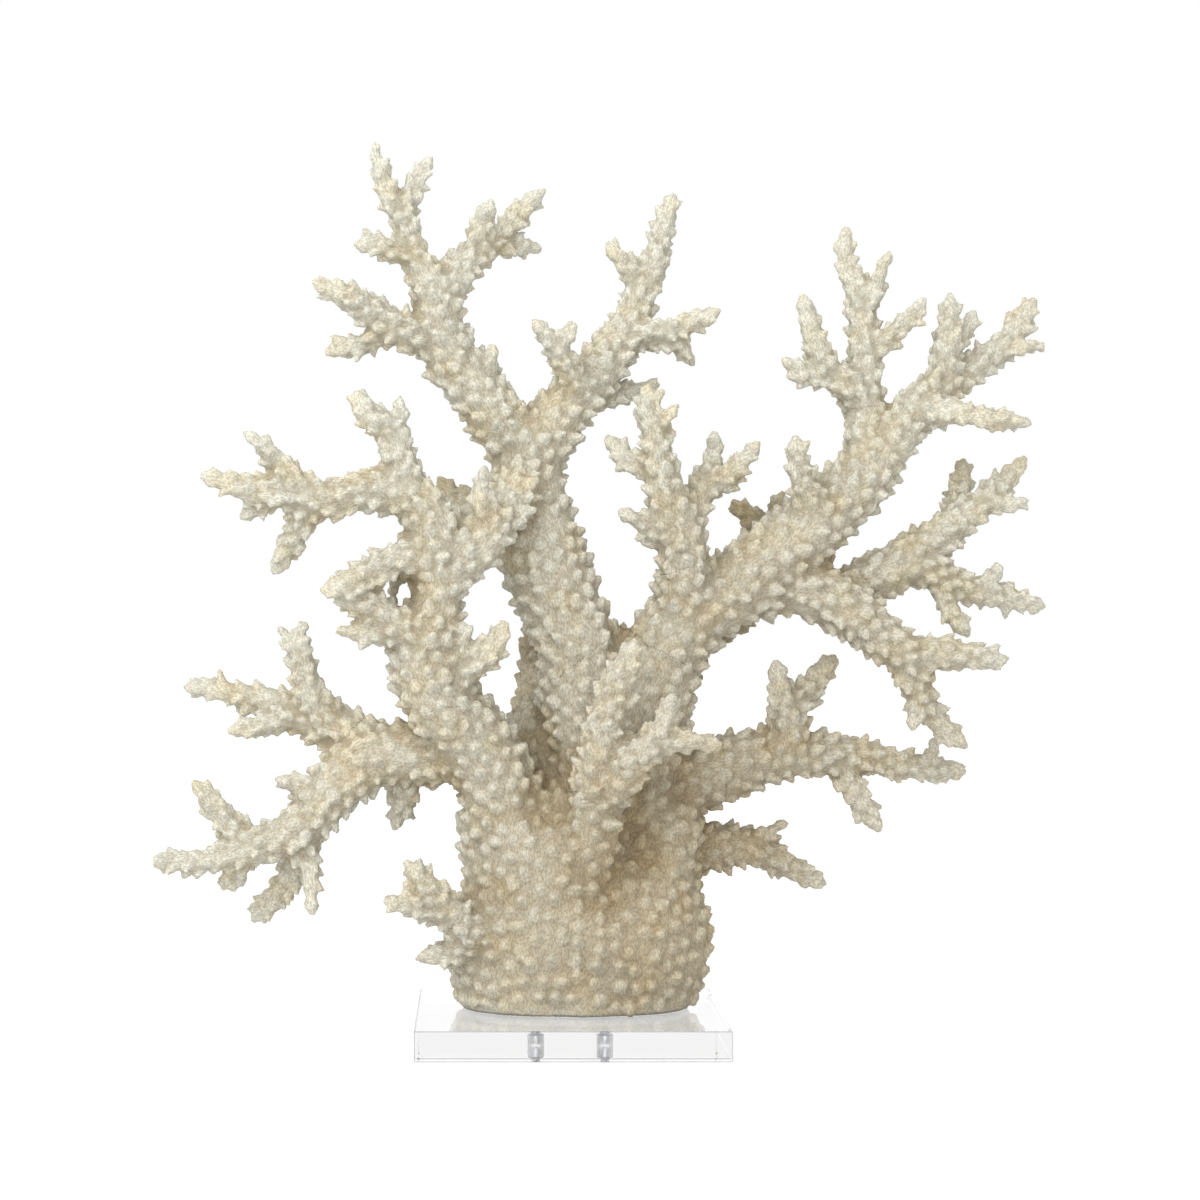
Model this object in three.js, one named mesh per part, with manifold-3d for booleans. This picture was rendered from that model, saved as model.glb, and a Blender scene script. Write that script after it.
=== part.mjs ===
// Branching coral on a clear block, held by two screws from below.
// Millimetres, +Z up. The origin is the middle of the block's underside: X runs right, Y runs back.

import * as THREE from 'three';
import { mergeVertices } from 'three/addons/utils/BufferGeometryUtils.js';
import Module from 'manifold-3d';

const wasm = await Module();
wasm.setup();

// Block and screws
const BLOCK_WIDTH = 165;
const BLOCK_DEPTH = 150;
const BLOCK_HEIGHT = 16;
const BLOCK_CHAMFER = 0.5;
const GAP = 0.3;
const HOLE_SPACING = 37;
const HOLE_SIDES = 16;
const COUNTERBORE_RADIUS = 4.35;
const COUNTERBORE_DEPTH = 6.1;
const CONE_HEIGHT = 1;
const HOLE_RADIUS = 2.35;
const HEAD_RADIUS = COUNTERBORE_RADIUS - GAP;
const SHANK_RADIUS = HOLE_RADIUS - GAP;
const HEAD_HEIGHT = 4.6;
const SOCKET_RADIUS = 2;
const SOCKET_DEPTH = 2.4;
const SCREW_REACH = 24;
const SCREW_SIDES = 10;
const PILOT_RADIUS = SHANK_RADIUS + GAP;
// How far a hole's cutter runs on past the faces that the hole opens in
const OVERRUN = 1;

// Branch lines are read off as seen from one place in front, where the eye looks level along +Y.
// A point is [across, down, depth, half]: across and down are picture units, depth is millimetres
// behind the block's middle, and half is half the branch's thickness in picture units.
const EYE = new THREE.Vector3(-46.2, -1475, 251.3);
const SIGHT_ACROSS = 484;
const SIGHT_DOWN = 576;
const FOCAL = 2710;

// Lumps on the coral: from valley to crest a lump is LUMP_SHARE of the branch's half thickness,
// between the two limits. Every other corner of a branch rises by RISE_SHARE of that, and the
// corners between them sink by SINK_SHARE of it.
const LUMP_SHARE = 0.26;
const LUMP_LEAST = 1.2;
const LUMP_MOST = 4;
const RISE_SHARE = 0.5;
const SINK_SHARE = 0.5;
const RING_STEP_LEAST = 13;
const RING_STEP_SHARE = 1.1;
const CORNER_STEP = 15;
const CORNERS_LEAST = 6;
const CORNERS_MOST = 12;
const TIP_SHARE = 0.5;

// Joins and cuts leave many small faces. Corners are drawn together in rounds, each of which may
// move a face by no more than its limit.
const DRAW_LIMITS = [0.1, 0.3, 0.6, 0.9, 1.1];
const LEAST_TURN = 0.5;
const LEAST_AREA = 0.2;

// Trunk, from the foot up: [height, middle in X, middle in Y, half width, half depth]
const FOOT = BLOCK_HEIGHT + GAP;
const TRUNK_CORNERS = 24;
const TRUNK_LUMP = 5;
const TRUNK_SMOOTH_RINGS = 2;
const TRUNK_RINGS = [
  [FOOT, 3.5, 3, 62.5, 37],
  [FOOT + 5, 3.5, 3, 65.5, 39],
  [31, 4, 3, 68.5, 40],
  [43, 6.5, 3, 70, 40],
  [55, 8, 3, 68.5, 40],
  [67, 9, 3, 67, 39.5],
  [79, 7.5, 3, 63, 38],
  [91, 5.5, 3, 62, 37.5],
  [103, 5.5, 3, 63, 37],
  [115, 5.5, 3, 65.5, 36],
  [125, 7, 5, 64, 32],
  [135, 7, 8, 56, 26],
];
const TRUNK_TOP = 143;

// Coral, by the main fork that each stretch grows from. The first branch of a stretch is its main
// one, and the others grow out of it.
const CORAL = {
  coral_front_left_limb: [
    [[510, 850, 0, 44], [500, 790, -8, 40], [476, 742, -16, 38], [443, 702, -24, 38], [424, 655, -31, 37],
      [436, 600, -37, 26], [440, 560, -40, 28], [432, 527, -42, 28], [416, 504, -44, 25]],
    // arm that crosses in front of the centre limb, and its nub
    [[446, 572, -40, 28], [479, 542, -40, 26], [502, 511, -33, 24], [517, 488, -21, 22], [527, 472, -8, 21]],
    [[484, 518, -44, 14], [481, 494, -50, 11], [484, 472, -54, 7]],
    // two sprigs to the left, whose ends meet
    [[425, 564, -42, 20], [402, 558, -47, 18], [377, 569, -54, 16], [347, 585, -60, 15], [330, 589, -64, 10]],
    [[400, 562, -36, 13], [395, 583, -30, 8], [394, 603, -26, 4]],
    [[428, 648, -32, 26], [398, 628, -42, 21], [370, 606, -50, 17], [344, 594, -56, 15]],
    [[386, 630, -44, 17], [360, 633, -52, 12], [342, 630, -57, 6]],
    // forked sprig to the right
    [[450, 690, -30, 19], [468, 667, -38, 14], [464, 645, -42, 10], [463, 628, -44, 7]],
    [[468, 668, -38, 15], [486, 654, -41, 16], [497, 641, -43, 13], [503, 629, -44, 8]],
  ],
  coral_left_arm: [
    [[430, 508, -44, 22], [402, 493, -46, 24], [378, 490, -48, 23], [350, 494, -51, 20], [325, 500, -54, 20],
      [300, 492, -57, 18]],
    [[306, 494, -56, 16], [285, 468, -60, 12], [267, 450, -63, 10], [251, 437, -65, 7]],
    [[298, 494, -57, 17], [270, 492, -61, 17], [250, 490, -64, 15], [230, 483, -67, 12], [208, 477, -69, 8]],
    [[268, 498, -59, 13], [254, 510, -57, 10], [246, 515, -56, 7]],
    [[306, 504, -54, 17], [300, 529, -50, 13], [287, 548, -46, 12], [277, 567, -43, 8]],
    [[407, 486, -46, 20], [399, 458, -49, 17], [392, 436, -52, 18], [388, 424, -54, 15]],
    [[388, 429, -54, 15], [367, 414, -58, 14], [360, 400, -60, 10]],
    [[394, 430, -54, 12], [401, 416, -51, 9], [400, 402, -49, 6]],
  ],
  coral_low_left_arm: [
    [[500, 772, -2, 36], [470, 755, -5, 33], [440, 753, -8, 32], [402, 752, -11, 30], [370, 758, -15, 30],
      [335, 788, -20, 27], [303, 824, -25, 22], [273, 841, -29, 21], [245, 847, -33, 20], [222, 856, -36, 14],
      [198, 862, -39, 12], [175, 862, -42, 11], [158, 861, -44, 10]],
    [[312, 795, -22, 14], [296, 785, -26, 11], [283, 781, -29, 8]],
    [[246, 842, -33, 16], [228, 824, -36, 13], [213, 804, -39, 12], [198, 787, -42, 8]],
    [[246, 854, -31, 13], [236, 871, -25, 12], [227, 883, -21, 9]],
    [[306, 832, -22, 20], [298, 855, -16, 17], [290, 878, -10, 14], [275, 897, -5, 13], [259, 914, -1, 11]],
    [[303, 842, -24, 14], [309, 865, -27, 12], [311, 888, -30, 9], [312, 908, -32, 7]],
    [[408, 766, -4, 20], [405, 788, 2, 16], [402, 806, 6, 13], [396, 824, 9, 7]],
  ],
  coral_low_left_upper_arm: [
    [[388, 752, -12, 26], [356, 735, -10, 22], [320, 722, -7, 20], [290, 711, -4, 18], [265, 701, -1, 15],
      [240, 695, 2, 13], [215, 690, 4, 11], [193, 688, 6, 9]],
    [[300, 716, -6, 15], [280, 719, -10, 13], [260, 725, -13, 11], [236, 730, -16, 8]],
    [[345, 743, -11, 13], [324, 740, -9, 9], [309, 739, -7, 6]],
    [[330, 720, -8, 19], [313, 698, -14, 18], [305, 676, -19, 15], [300, 655, -23, 14], [296, 640, -26, 12]],
    [[298, 648, -25, 10], [305, 626, -28, 5]],
    [[296, 646, -25, 10], [281, 630, -22, 5]],
  ],
  coral_centre_limb: [
    [[604, 822, 4, 48], [598, 740, 2, 46], [584, 692, 1, 44], [577, 646, 1, 41], [558, 600, 1, 42],
      [543, 558, 1, 44], [531, 510, 0, 40], [526, 470, 0, 37], [528, 436, 0, 34]],
    // dark sprig behind
    [[525, 530, 10, 20], [498, 517, 38, 16], [474, 509, 54, 14], [455, 501, 62, 12], [441, 481, 68, 6]],
    [[470, 508, 55, 11], [466, 490, 61, 6]],
  ],
  coral_left_crown: [
    [[519, 448, 0, 32], [501, 424, -4, 29], [484, 402, -7, 28], [467, 378, -10, 28], [452, 360, -13, 27],
      [443, 338, -16, 27], [438, 318, -19, 25], [437, 298, -22, 23], [426, 277, -25, 19], [416, 260, -27, 16],
      [409, 240, -29, 15], [406, 222, -31, 14], [402, 206, -33, 14]],
    [[401, 214, -32, 14], [386, 190, -37, 12], [379, 166, -41, 10], [376, 143, -44, 7]],
    [[404, 212, -32, 12], [417, 182, -28, 10], [428, 163, -25, 7]],
    [[412, 252, -28, 14], [388, 249, -35, 12], [362, 245, -42, 8]],
    [[441, 298, -20, 22], [457, 273, -14, 20], [471, 259, -9, 18], [487, 246, -5, 15]],
    [[480, 250, -7, 14], [481, 226, -13, 13], [489, 207, -17, 8]],
    [[486, 248, -5, 12], [506, 228, -1, 11], [522, 211, 3, 12], [536, 197, 6, 8]],
    [[484, 248, -5, 13], [502, 246, 2, 11], [520, 247, 7, 10], [536, 248, 11, 6]],
    [[432, 338, -16, 20], [402, 330, -24, 19], [375, 315, -30, 17], [350, 298, -36, 14], [332, 291, -40, 11],
      [317, 283, -44, 6]],
    [[394, 330, -26, 14], [370, 341, -22, 11], [350, 347, -19, 11], [333, 350, -16, 8]],
    [[484, 392, -6, 16], [489, 370, -14, 10], [493, 351, -19, 7]],
  ],
  coral_right_crown: [
    [[538, 450, 0, 32], [550, 428, 3, 30], [567, 407, 7, 28], [582, 391, 11, 26], [611, 353, 20, 24],
      [625, 334, 24, 21], [635, 314, 28, 18], [638, 296, 31, 16], [645, 279, 34, 18], [653, 262, 37, 15],
      [659, 244, 40, 12], [664, 225, 43, 12], [672, 200, 46, 7]],
    [[640, 284, 32, 13], [624, 264, 27, 11], [611, 248, 24, 7]],
    [[628, 338, 24, 18], [652, 334, 18, 15], [675, 333, 13, 14]],
    [[668, 333, 14, 13], [695, 322, 9, 10], [714, 313, 5, 7]],
    [[670, 336, 14, 13], [683, 350, 18, 10], [690, 360, 20, 7]],
    [[582, 396, 6, 20], [572, 378, -3, 15], [562, 358, -10, 13], [555, 342, -14, 12]],
    [[558, 348, -12, 11], [545, 335, -17, 10], [537, 325, -20, 7]],
    [[556, 350, -12, 11], [566, 338, -15, 9], [572, 329, -17, 7]],
    [[588, 392, 15, 18], [607, 395, 22, 13], [624, 394, 28, 10], [641, 389, 33, 9], [653, 386, 36, 7]],
  ],
  coral_right_limb: [
    [[630, 810, 6, 50], [638, 750, 4, 46], [650, 695, 2, 44], [664, 650, 2, 42], [694, 614, 2, 38],
      [733, 589, 3, 37], [769, 563, 5, 38], [800, 538, 8, 37], [829, 510, 11, 34], [858, 484, 14, 31],
      [880, 449, 16, 28]],
    [[818, 514, 4, 20], [806, 488, -6, 15], [799, 468, -12, 13], [796, 444, -18, 9]],
  ],
  coral_middle_limb: [
    [[684, 626, 0, 34], [685, 590, -6, 29], [682, 548, -12, 25], [675, 520, -15, 23], [663, 482, -20, 19],
      [657, 450, -24, 15], [655, 430, -26, 14], [648, 410, -28, 12], [648, 394, -30, 10]],
    [[656, 431, -26, 10], [665, 417, -30, 8], [674, 409, -32, 6]],
    [[662, 474, -20, 15], [643, 466, -16, 12], [625, 458, -13, 11], [611, 442, -10, 8]],
    [[670, 542, -12, 17], [640, 522, -18, 10], [625, 514, -22, 8]],
    [[685, 548, -10, 20], [692, 512, -5, 16], [703, 488, 0, 16], [712, 466, 4, 11], [714, 439, 6, 8]],
    [[702, 490, 0, 15], [724, 478, -5, 13], [741, 463, -9, 10], [754, 448, -12, 8]],
  ],
  coral_upper_right_limb: [
    [[872, 456, 15, 25], [867, 426, 20, 22], [864, 402, 23, 20], [864, 372, 26, 18], [864, 340, 29, 16],
      [862, 310, 31, 16], [857, 290, 33, 14], [848, 270, 34, 10], [845, 250, 35, 10], [845, 234, 36, 7]],
    [[861, 308, 31, 14], [872, 295, 27, 11], [880, 274, 23, 8], [888, 257, 20, 6]],
    [[868, 354, 28, 15], [888, 339, 22, 11], [905, 323, 17, 10], [921, 304, 13, 7]],
    [[864, 398, 22, 19], [846, 384, 17, 17], [832, 374, 14, 15], [820, 356, 11, 13], [813, 336, 9, 13],
      [804, 303, 6, 9]],
    [[828, 372, 14, 14], [812, 376, 8, 12], [797, 371, 4, 10], [787, 362, 1, 7]],
  ],
  coral_upper_right_fan: [
    [[886, 449, 16, 26], [907, 420, 22, 23], [924, 402, 27, 21], [942, 387, 32, 20], [962, 376, 36, 17],
      [982, 361, 40, 16], [1005, 344, 44, 14], [1020, 325, 47, 13], [1031, 305, 49, 8]],
    [[943, 388, 31, 18], [946, 352, 27, 16], [949, 330, 24, 13], [950, 302, 21, 9]],
    [[949, 350, 27, 13], [962, 332, 32, 10], [972, 316, 35, 7]],
    [[1000, 350, 43, 13], [1020, 346, 38, 9], [1042, 346, 34, 5]],
    [[912, 412, 24, 19], [938, 412, 17, 16], [960, 413, 12, 13], [985, 418, 8, 10], [1010, 420, 5, 10],
      [1024, 423, 3, 7]],
  ],
  coral_middle_right_arm: [
    [[762, 588, 4, 32], [800, 588, 9, 26], [832, 592, 14, 23], [868, 582, 19, 24], [900, 564, 23, 25],
      [926, 547, 27, 21], [950, 527, 31, 19], [975, 510, 35, 15], [995, 491, 38, 14], [1010, 476, 41, 10],
      [1021, 463, 43, 8]],
    [[984, 503, 35, 13], [1004, 503, 30, 9], [1023, 501, 26, 6]],
    [[945, 532, 31, 15], [957, 502, 45, 12], [962, 480, 54, 12], [963, 464, 58, 6]],
    [[905, 561, 23, 23], [930, 571, 24, 20], [955, 584, 25, 16], [985, 593, 26, 14], [1010, 599, 27, 12],
      [1037, 605, 28, 8]],
    [[976, 592, 26, 10], [990, 581, 21, 8], [999, 570, 16, 6]],
    [[943, 580, 22, 15], [945, 598, 18, 11], [953, 616, 15, 11], [964, 630, 13, 8]],
  ],
  coral_lower_right_arm: [
    [[792, 586, 4, 28], [828, 598, 0, 28], [860, 619, -5, 26], [888, 642, -10, 23], [914, 656, -14, 19],
      [940, 652, -18, 17], [965, 656, -21, 14], [988, 660, -24, 12], [998, 660, -26, 9]],
    [[904, 652, -13, 20], [915, 682, -10, 17], [925, 705, -8, 14], [940, 725, -6, 12], [960, 742, -4, 9]],
    [[918, 692, -9, 11], [914, 712, -14, 9], [913, 724, -17, 7]],
  ],
  coral_low_right_arm: [
    [[676, 783, 12, 37], [715, 771, 17, 34], [745, 762, 21, 30], [780, 754, 25, 26], [812, 753, 29, 23],
      [840, 755, 32, 20], [870, 757, 35, 17], [900, 765, 38, 14], [925, 768, 40, 13], [957, 771, 43, 9]],
    [[784, 754, 25, 25], [789, 732, 20, 21], [787, 714, 16, 18], [782, 694, 12, 13], [777, 669, 8, 9]],
    [[789, 712, 16, 15], [806, 692, 20, 14], [820, 675, 24, 12], [830, 662, 27, 9]],
    [[838, 760, 32, 17], [846, 778, 28, 14], [856, 794, 25, 13], [867, 812, 22, 12], [875, 824, 20, 9]],
    [[929, 768, 40, 9], [932, 750, 34, 7], [934, 742, 30, 6]],
  ],
  coral_low_right_sprig: [
    [[672, 848, 20, 30], [715, 846, 28, 24], [745, 847, 34, 20], [765, 853, 38, 15], [785, 865, 42, 13],
      [803, 874, 45, 12], [818, 881, 48, 9]],
    [[748, 842, 34, 11], [767, 833, 32, 8], [781, 824, 28, 6]],
  ],
  coral_base_sprig: [
    [[492, 938, -12, 27], [466, 926, -22, 21], [444, 907, -29, 17], [428, 888, -35, 15], [411, 868, -40, 10]],
    [[446, 912, -28, 15], [430, 910, -33, 12], [410, 905, -38, 12], [391, 902, -43, 8]],
  ],
  coral_front_sprig: [
    [[600, 800, -30, 24], [614, 784, -44, 22], [632, 762, -56, 19], [655, 740, -64, 16], [668, 716, -67, 11],
      [671, 702, -68, 9]],
    [[586, 905, -14, 24], [590, 850, -21, 29], [598, 800, -33, 28], [601, 765, -43, 24], [605, 735, -51, 21],
      [613, 702, -57, 20], [624, 672, -62, 17], [632, 649, -65, 11]],
    [[652, 744, -62, 14], [686, 741, -67, 12], [715, 744, -70, 7]],
  ],
  coral_back_left_limb: [
    [[540, 826, 12, 40], [537, 784, 16, 37], [536, 745, 27, 33], [541, 700, 50, 27], [544, 650, 76, 22],
      [545, 612, 84, 21], [543, 568, 90, 11]],
    [[546, 668, 68, 17], [568, 650, 84, 13], [586, 632, 94, 7]],
    [[556, 640, 83, 14], [540, 616, 94, 10], [530, 598, 101, 6]],
    [[540, 770, 30, 20], [526, 782, 56, 15], [510, 794, 78, 8]],
  ],
  coral_back_right_limb: [
    [[642, 822, 22, 38], [648, 780, 48, 32], [655, 730, 62, 28], [672, 684, 72, 24], [692, 645, 79, 20],
      [724, 604, 84, 17], [750, 562, 85, 13], [755, 524, 80, 13], [739, 507, 76, 10]],
    [[750, 566, 85, 12], [769, 532, 78, 12], [781, 498, 72, 7]],
    [[676, 690, 71, 20], [662, 662, 86, 14], [654, 634, 96, 7]],
    [[700, 642, 79, 15], [738, 622, 92, 11], [762, 604, 100, 6]],
  ],
  coral_trunk: [
    [[600, 930, 20, 34], [600, 900, 44, 24], [598, 872, 62, 17], [596, 850, 72, 9]],
    [[500, 900, 18, 30], [496, 872, 42, 22], [492, 848, 56, 16], [490, 828, 64, 8]],
    [[490, 956, -10, 18], [456, 953, -21, 15], [439, 955, -26, 11], [426, 956, -29, 8]],
  ],
};

// Saw cuts at the main forks: [across, down, depth] of the middle, the way the branch runs there
// as [right, back, up], and the cut's radius in millimetres.
const CUT_GAP = GAP;
const CUT_SIDES = 12;
const CUTS = [
  { at: [448, 703, -24], along: [-0.1, -0.1, 1], radius: 27 },
  { at: [427, 750, -9], along: [-0.87, 0, -0.49], radius: 24 },
  { at: [346, 737, -10], along: [-0.72, 0, 0.69], radius: 22 },
  { at: [414, 497, -45], along: [-0.86, 0, 0.5], radius: 19.5 },
  { at: [499, 515, -35], along: [0.5, 0.45, 0.74], radius: 20 },
  { at: [566, 670, 2], along: [-0.63, 0, 0.77], radius: 40 },
  { at: [498, 427, -4], along: [-0.67, 0, 0.74], radius: 21.5 },
  { at: [547, 431, 3], along: [0.78, 0, 0.62], radius: 22 },
  { at: [660, 650, 2], along: [0.53, 0, 0.85], radius: 29 },
  { at: [681, 569, -8], along: [-0.35, 0, 0.94], radius: 19.5 },
  { at: [866, 409, 22], along: [-0.2, 0, 0.98], radius: 15.5 },
  { at: [908, 416, 23], along: [0.78, 0, 0.62], radius: 16 },
  { at: [865, 583, 18], along: [0.8, 0, 0.6], radius: 21 },
  { at: [865, 624, -5], along: [0.81, 0, -0.59], radius: 17.5 },
  { at: [722, 768, 18], along: [1, 0, 0], radius: 26 },
  { at: [712, 845, 27], along: [1, 0, 0], radius: 18 },
  { at: [457, 917, -25], along: [-1, 0, 0.6], radius: 14.5 },
  { at: [602, 790, -38], along: [0.1, -0.6, 0.8], radius: 19 },
  { at: [539, 722, 38], along: [0, 0.7, 0.71], radius: 21.5 },
  { at: [650, 785, 45], along: [0, 1, 0], radius: 35 },
];

// A cut piece is known by a point inside it, tested with a small probe.
const PROBE_RADIUS = 0.5;
const TRUNK_PROBE = new THREE.Vector3(0, 0, 60);

// Colours
const CORAL_FINISH = { color: 0xd9d0bb, roughness: 0.85, metalness: 0 };
const CLEAR_FINISH = { color: 0xf4f7f8, roughness: 0.05, metalness: 0, transparent: true, opacity: 0.3 };
const STEEL_FINISH = { color: 0xb9bcc0, roughness: 0.35, metalness: 1 };

// Carries a picture point along its line of sight to its depth, and turns half into millimetres.
function place([across, down, depth, half = 0]) {
  const unit = (depth - EYE.y) / FOCAL;
  const x = EYE.x + (across - SIGHT_ACROSS) * unit;
  const z = EYE.z - (down - SIGHT_DOWN) * unit;
  return { point: new THREE.Vector3(x, depth, z), half: half * unit };
}

function toSolid(geometry) {
  const bare = new THREE.BufferGeometry();
  bare.setAttribute('position', geometry.getAttribute('position').clone());
  bare.setIndex(geometry.getIndex());
  const merged = mergeVertices(bare);
  const vertProperties = merged.getAttribute('position').array;
  const triVerts = merged.getIndex().array;
  return new wasm.Manifold(new wasm.Mesh({ numProp: 3, vertProperties, triVerts }));
}

function toGeometry(solid) {
  const mesh = solid.getMesh();
  const geometry = new THREE.BufferGeometry();
  geometry.setAttribute('position', new THREE.BufferAttribute(mesh.vertProperties, 3));
  geometry.setIndex(new THREE.BufferAttribute(mesh.triVerts, 1));
  return geometry;
}

function faceNormal(a, b, c) {
  const normal = new THREE.Vector3();
  new THREE.Triangle(a, b, c).getNormal(normal);
  return normal;
}

// A closed skin held as points, faces and the faces around each point.
class Skin {
  constructor(solid) {
    const mesh = solid.getMesh();
    this.points = [];
    for (let at = 0; at < mesh.vertProperties.length; at += 3) {
      this.points.push(new THREE.Vector3().fromArray(mesh.vertProperties, at));
    }
    this.faces = [];
    for (let at = 0; at < mesh.triVerts.length; at += 3) {
      this.faces.push([...mesh.triVerts.slice(at, at + 3)]);
    }
    this.around = this.points.map(() => new Set());
    this.faces.forEach((face, id) => face.forEach((corner) => this.around[corner].add(id)));
  }

  neighbours(corner) {
    const found = new Set();
    for (const id of this.around[corner]) this.faces[id].forEach((other) => found.add(other));
    found.delete(corner);
    return found;
  }

  // How far the faces around one corner move if it is drawn onto another, or Infinity if it can't be.
  costOf(from, to) {
    const near = this.neighbours(to);
    const shared = [...this.neighbours(from)].filter((corner) => near.has(corner));
    if (shared.length !== 2) return Infinity;
    const step = this.points[to].clone().sub(this.points[from]);
    let cost = 0;
    for (const id of this.around[from]) {
      const face = this.faces[id];
      const normal = faceNormal(...face.map((corner) => this.points[corner]));
      cost = Math.max(cost, Math.abs(normal.dot(step)));
      if (!face.includes(to)) {
        const moved = face.map((corner) => this.points[corner === from ? to : corner]);
        if (new THREE.Triangle(...moved).getArea() < LEAST_AREA) return Infinity;
        if (faceNormal(...moved).dot(normal) < LEAST_TURN) return Infinity;
      }
    }
    return cost;
  }

  draw(from, to) {
    for (const id of this.around[from]) {
      const face = this.faces[id];
      if (face.includes(to)) {
        face.filter((corner) => corner !== from).forEach((corner) => this.around[corner].delete(id));
        this.faces[id] = null;
      } else {
        this.faces[id] = face.map((corner) => (corner === from ? to : corner));
        this.around[to].add(id);
      }
    }
    this.around[from].clear();
  }

  drawTogether(limit) {
    for (let from = 0; from < this.points.length; from += 1) {
      const costs = [...this.neighbours(from)].map((to) => [this.costOf(from, to), to]);
      const [cost, to] = costs.reduce((best, one) => (one[0] < best[0] ? one : best), [Infinity, from]);
      if (cost < limit) this.draw(from, to);
    }
  }

  toGeometry() {
    const corners = this.faces.filter((face) => face !== null).flat();
    const geometry = new THREE.BufferGeometry();
    geometry.setFromPoints(corners.map((corner) => this.points[corner]));
    geometry.setIndex([...corners.keys()]);
    return geometry;
  }
}

function drawnTogether(solid) {
  const skin = new Skin(solid);
  for (const limit of DRAW_LIMITS) skin.drawTogether(limit);
  return toSolid(skin.toGeometry());
}

// Lumps stand proud on every other corner, and shift by one corner from ring to ring.
function isRaised(ring, corner) {
  return (ring + corner) % 2 === 0;
}

function lumpAt(ring, corner, height) {
  return isRaised(ring, corner) ? RISE_SHARE * height : -SINK_SHARE * height;
}

// Closes a stack of rings of points into one skin, with a middle point on its first and last ring.
function skinRings(rings, startPoint, endPoint) {
  const corners = rings[0].length;
  const points = [...rings.flat(), startPoint, endPoint];
  const start = points.length - 2;
  const end = points.length - 1;
  const top = (rings.length - 1) * corners;
  const faces = [];
  for (let corner = 0; corner < corners; corner += 1) {
    const next = (corner + 1) % corners;
    faces.push(start, next, corner);
    faces.push(end, top + corner, top + next);
    for (let ring = 0; ring < rings.length - 1; ring += 1) {
      const low = ring * corners;
      const high = low + corners;
      if (isRaised(ring, corner)) {
        faces.push(low + corner, low + next, high + corner);
        faces.push(low + next, high + next, high + corner);
      } else {
        faces.push(low + corner, low + next, high + next);
        faces.push(low + corner, high + next, high + corner);
      }
    }
  }
  const geometry = new THREE.BufferGeometry();
  geometry.setFromPoints(points);
  geometry.setIndex(faces);
  return geometry;
}

// One branch: rings across a smooth line through its points, with a blunt tip.
function branch(points) {
  const placed = points.map(place);
  const line = new THREE.CatmullRomCurve3(placed.map((one) => one.point), false, 'centripetal');
  const halves = placed.map((one) => one.half);
  const meanHalf = halves.reduce((sum, half) => sum + half, 0) / halves.length;
  const ringStep = Math.max(RING_STEP_LEAST, RING_STEP_SHARE * meanHalf);
  const steps = Math.max(2, Math.round(line.getLength() / ringStep));
  const evenCorners = 2 * Math.round((Math.PI * meanHalf) / CORNER_STEP);
  const corners = Math.min(CORNERS_MOST, Math.max(CORNERS_LEAST, evenCorners));
  const frames = line.computeFrenetFrames(steps);
  const rings = [];
  for (let step = 0; step <= steps; step += 1) {
    const share = line.getUtoTmapping(step / steps) * (halves.length - 1);
    const before = Math.min(Math.floor(share), halves.length - 2);
    const half = THREE.MathUtils.lerp(halves[before], halves[before + 1], share - before);
    const lump = THREE.MathUtils.clamp(LUMP_SHARE * half, LUMP_LEAST, LUMP_MOST);
    const middle = line.getPointAt(step / steps);
    const ring = [];
    for (let corner = 0; corner < corners; corner += 1) {
      const angle = (2 * Math.PI * corner) / corners;
      const reach = half + (step < steps ? lumpAt(step, corner, lump) : 0);
      const spot = middle.clone();
      spot.addScaledVector(frames.normals[step], reach * Math.cos(angle));
      spot.addScaledVector(frames.binormals[step], reach * Math.sin(angle));
      ring.push(spot);
    }
    rings.push(ring);
  }
  const tipLength = TIP_SHARE * halves[halves.length - 1];
  const tip = line.getPointAt(1).addScaledVector(frames.tangents[steps], tipLength);
  return toSolid(skinRings(rings, line.getPointAt(0), tip));
}

// The trunk: oval rings one above the other, smooth at the foot and lumpy above.
function trunk() {
  const rings = TRUNK_RINGS.map(([height, middleX, middleY, halfWidth, halfDepth], level) => {
    const ring = [];
    for (let corner = 0; corner < TRUNK_CORNERS; corner += 1) {
      const angle = (2 * Math.PI * corner) / TRUNK_CORNERS;
      const lump = level < TRUNK_SMOOTH_RINGS ? 0 : lumpAt(level, corner, TRUNK_LUMP);
      const x = middleX + (halfWidth + lump) * Math.cos(angle);
      const y = middleY + (halfDepth + lump) * Math.sin(angle);
      ring.push(new THREE.Vector3(x, y, height));
    }
    return ring;
  });
  const [, footX, footY] = TRUNK_RINGS[0];
  const [, topX, topY] = TRUNK_RINGS[TRUNK_RINGS.length - 1];
  const footPoint = new THREE.Vector3(footX, footY, FOOT);
  const topPoint = new THREE.Vector3(topX, topY, TRUNK_TOP);
  return toSolid(skinRings(rings, footPoint, topPoint));
}

// A solid of revolution about the Z axis, moved to one screw's place.
function turned(profile, x, sides = HOLE_SIDES) {
  const outline = profile.map(([radius, height]) => new THREE.Vector2(radius, height));
  const geometry = new THREE.LatheGeometry(outline, sides);
  geometry.rotateX(Math.PI / 2);
  geometry.translate(x, 0, 0);
  return toSolid(geometry);
}

// A thin disc across a branch.
function cutDisc({ at, along, radius }) {
  const disc = new THREE.CylinderGeometry(radius, radius, CUT_GAP, CUT_SIDES);
  const direction = new THREE.Vector3(...along).normalize();
  disc.applyQuaternion(new THREE.Quaternion().setFromUnitVectors(new THREE.Vector3(0, 1, 0), direction));
  const { point } = place(at);
  disc.translate(point.x, point.y, point.z);
  return toSolid(disc);
}

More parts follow.
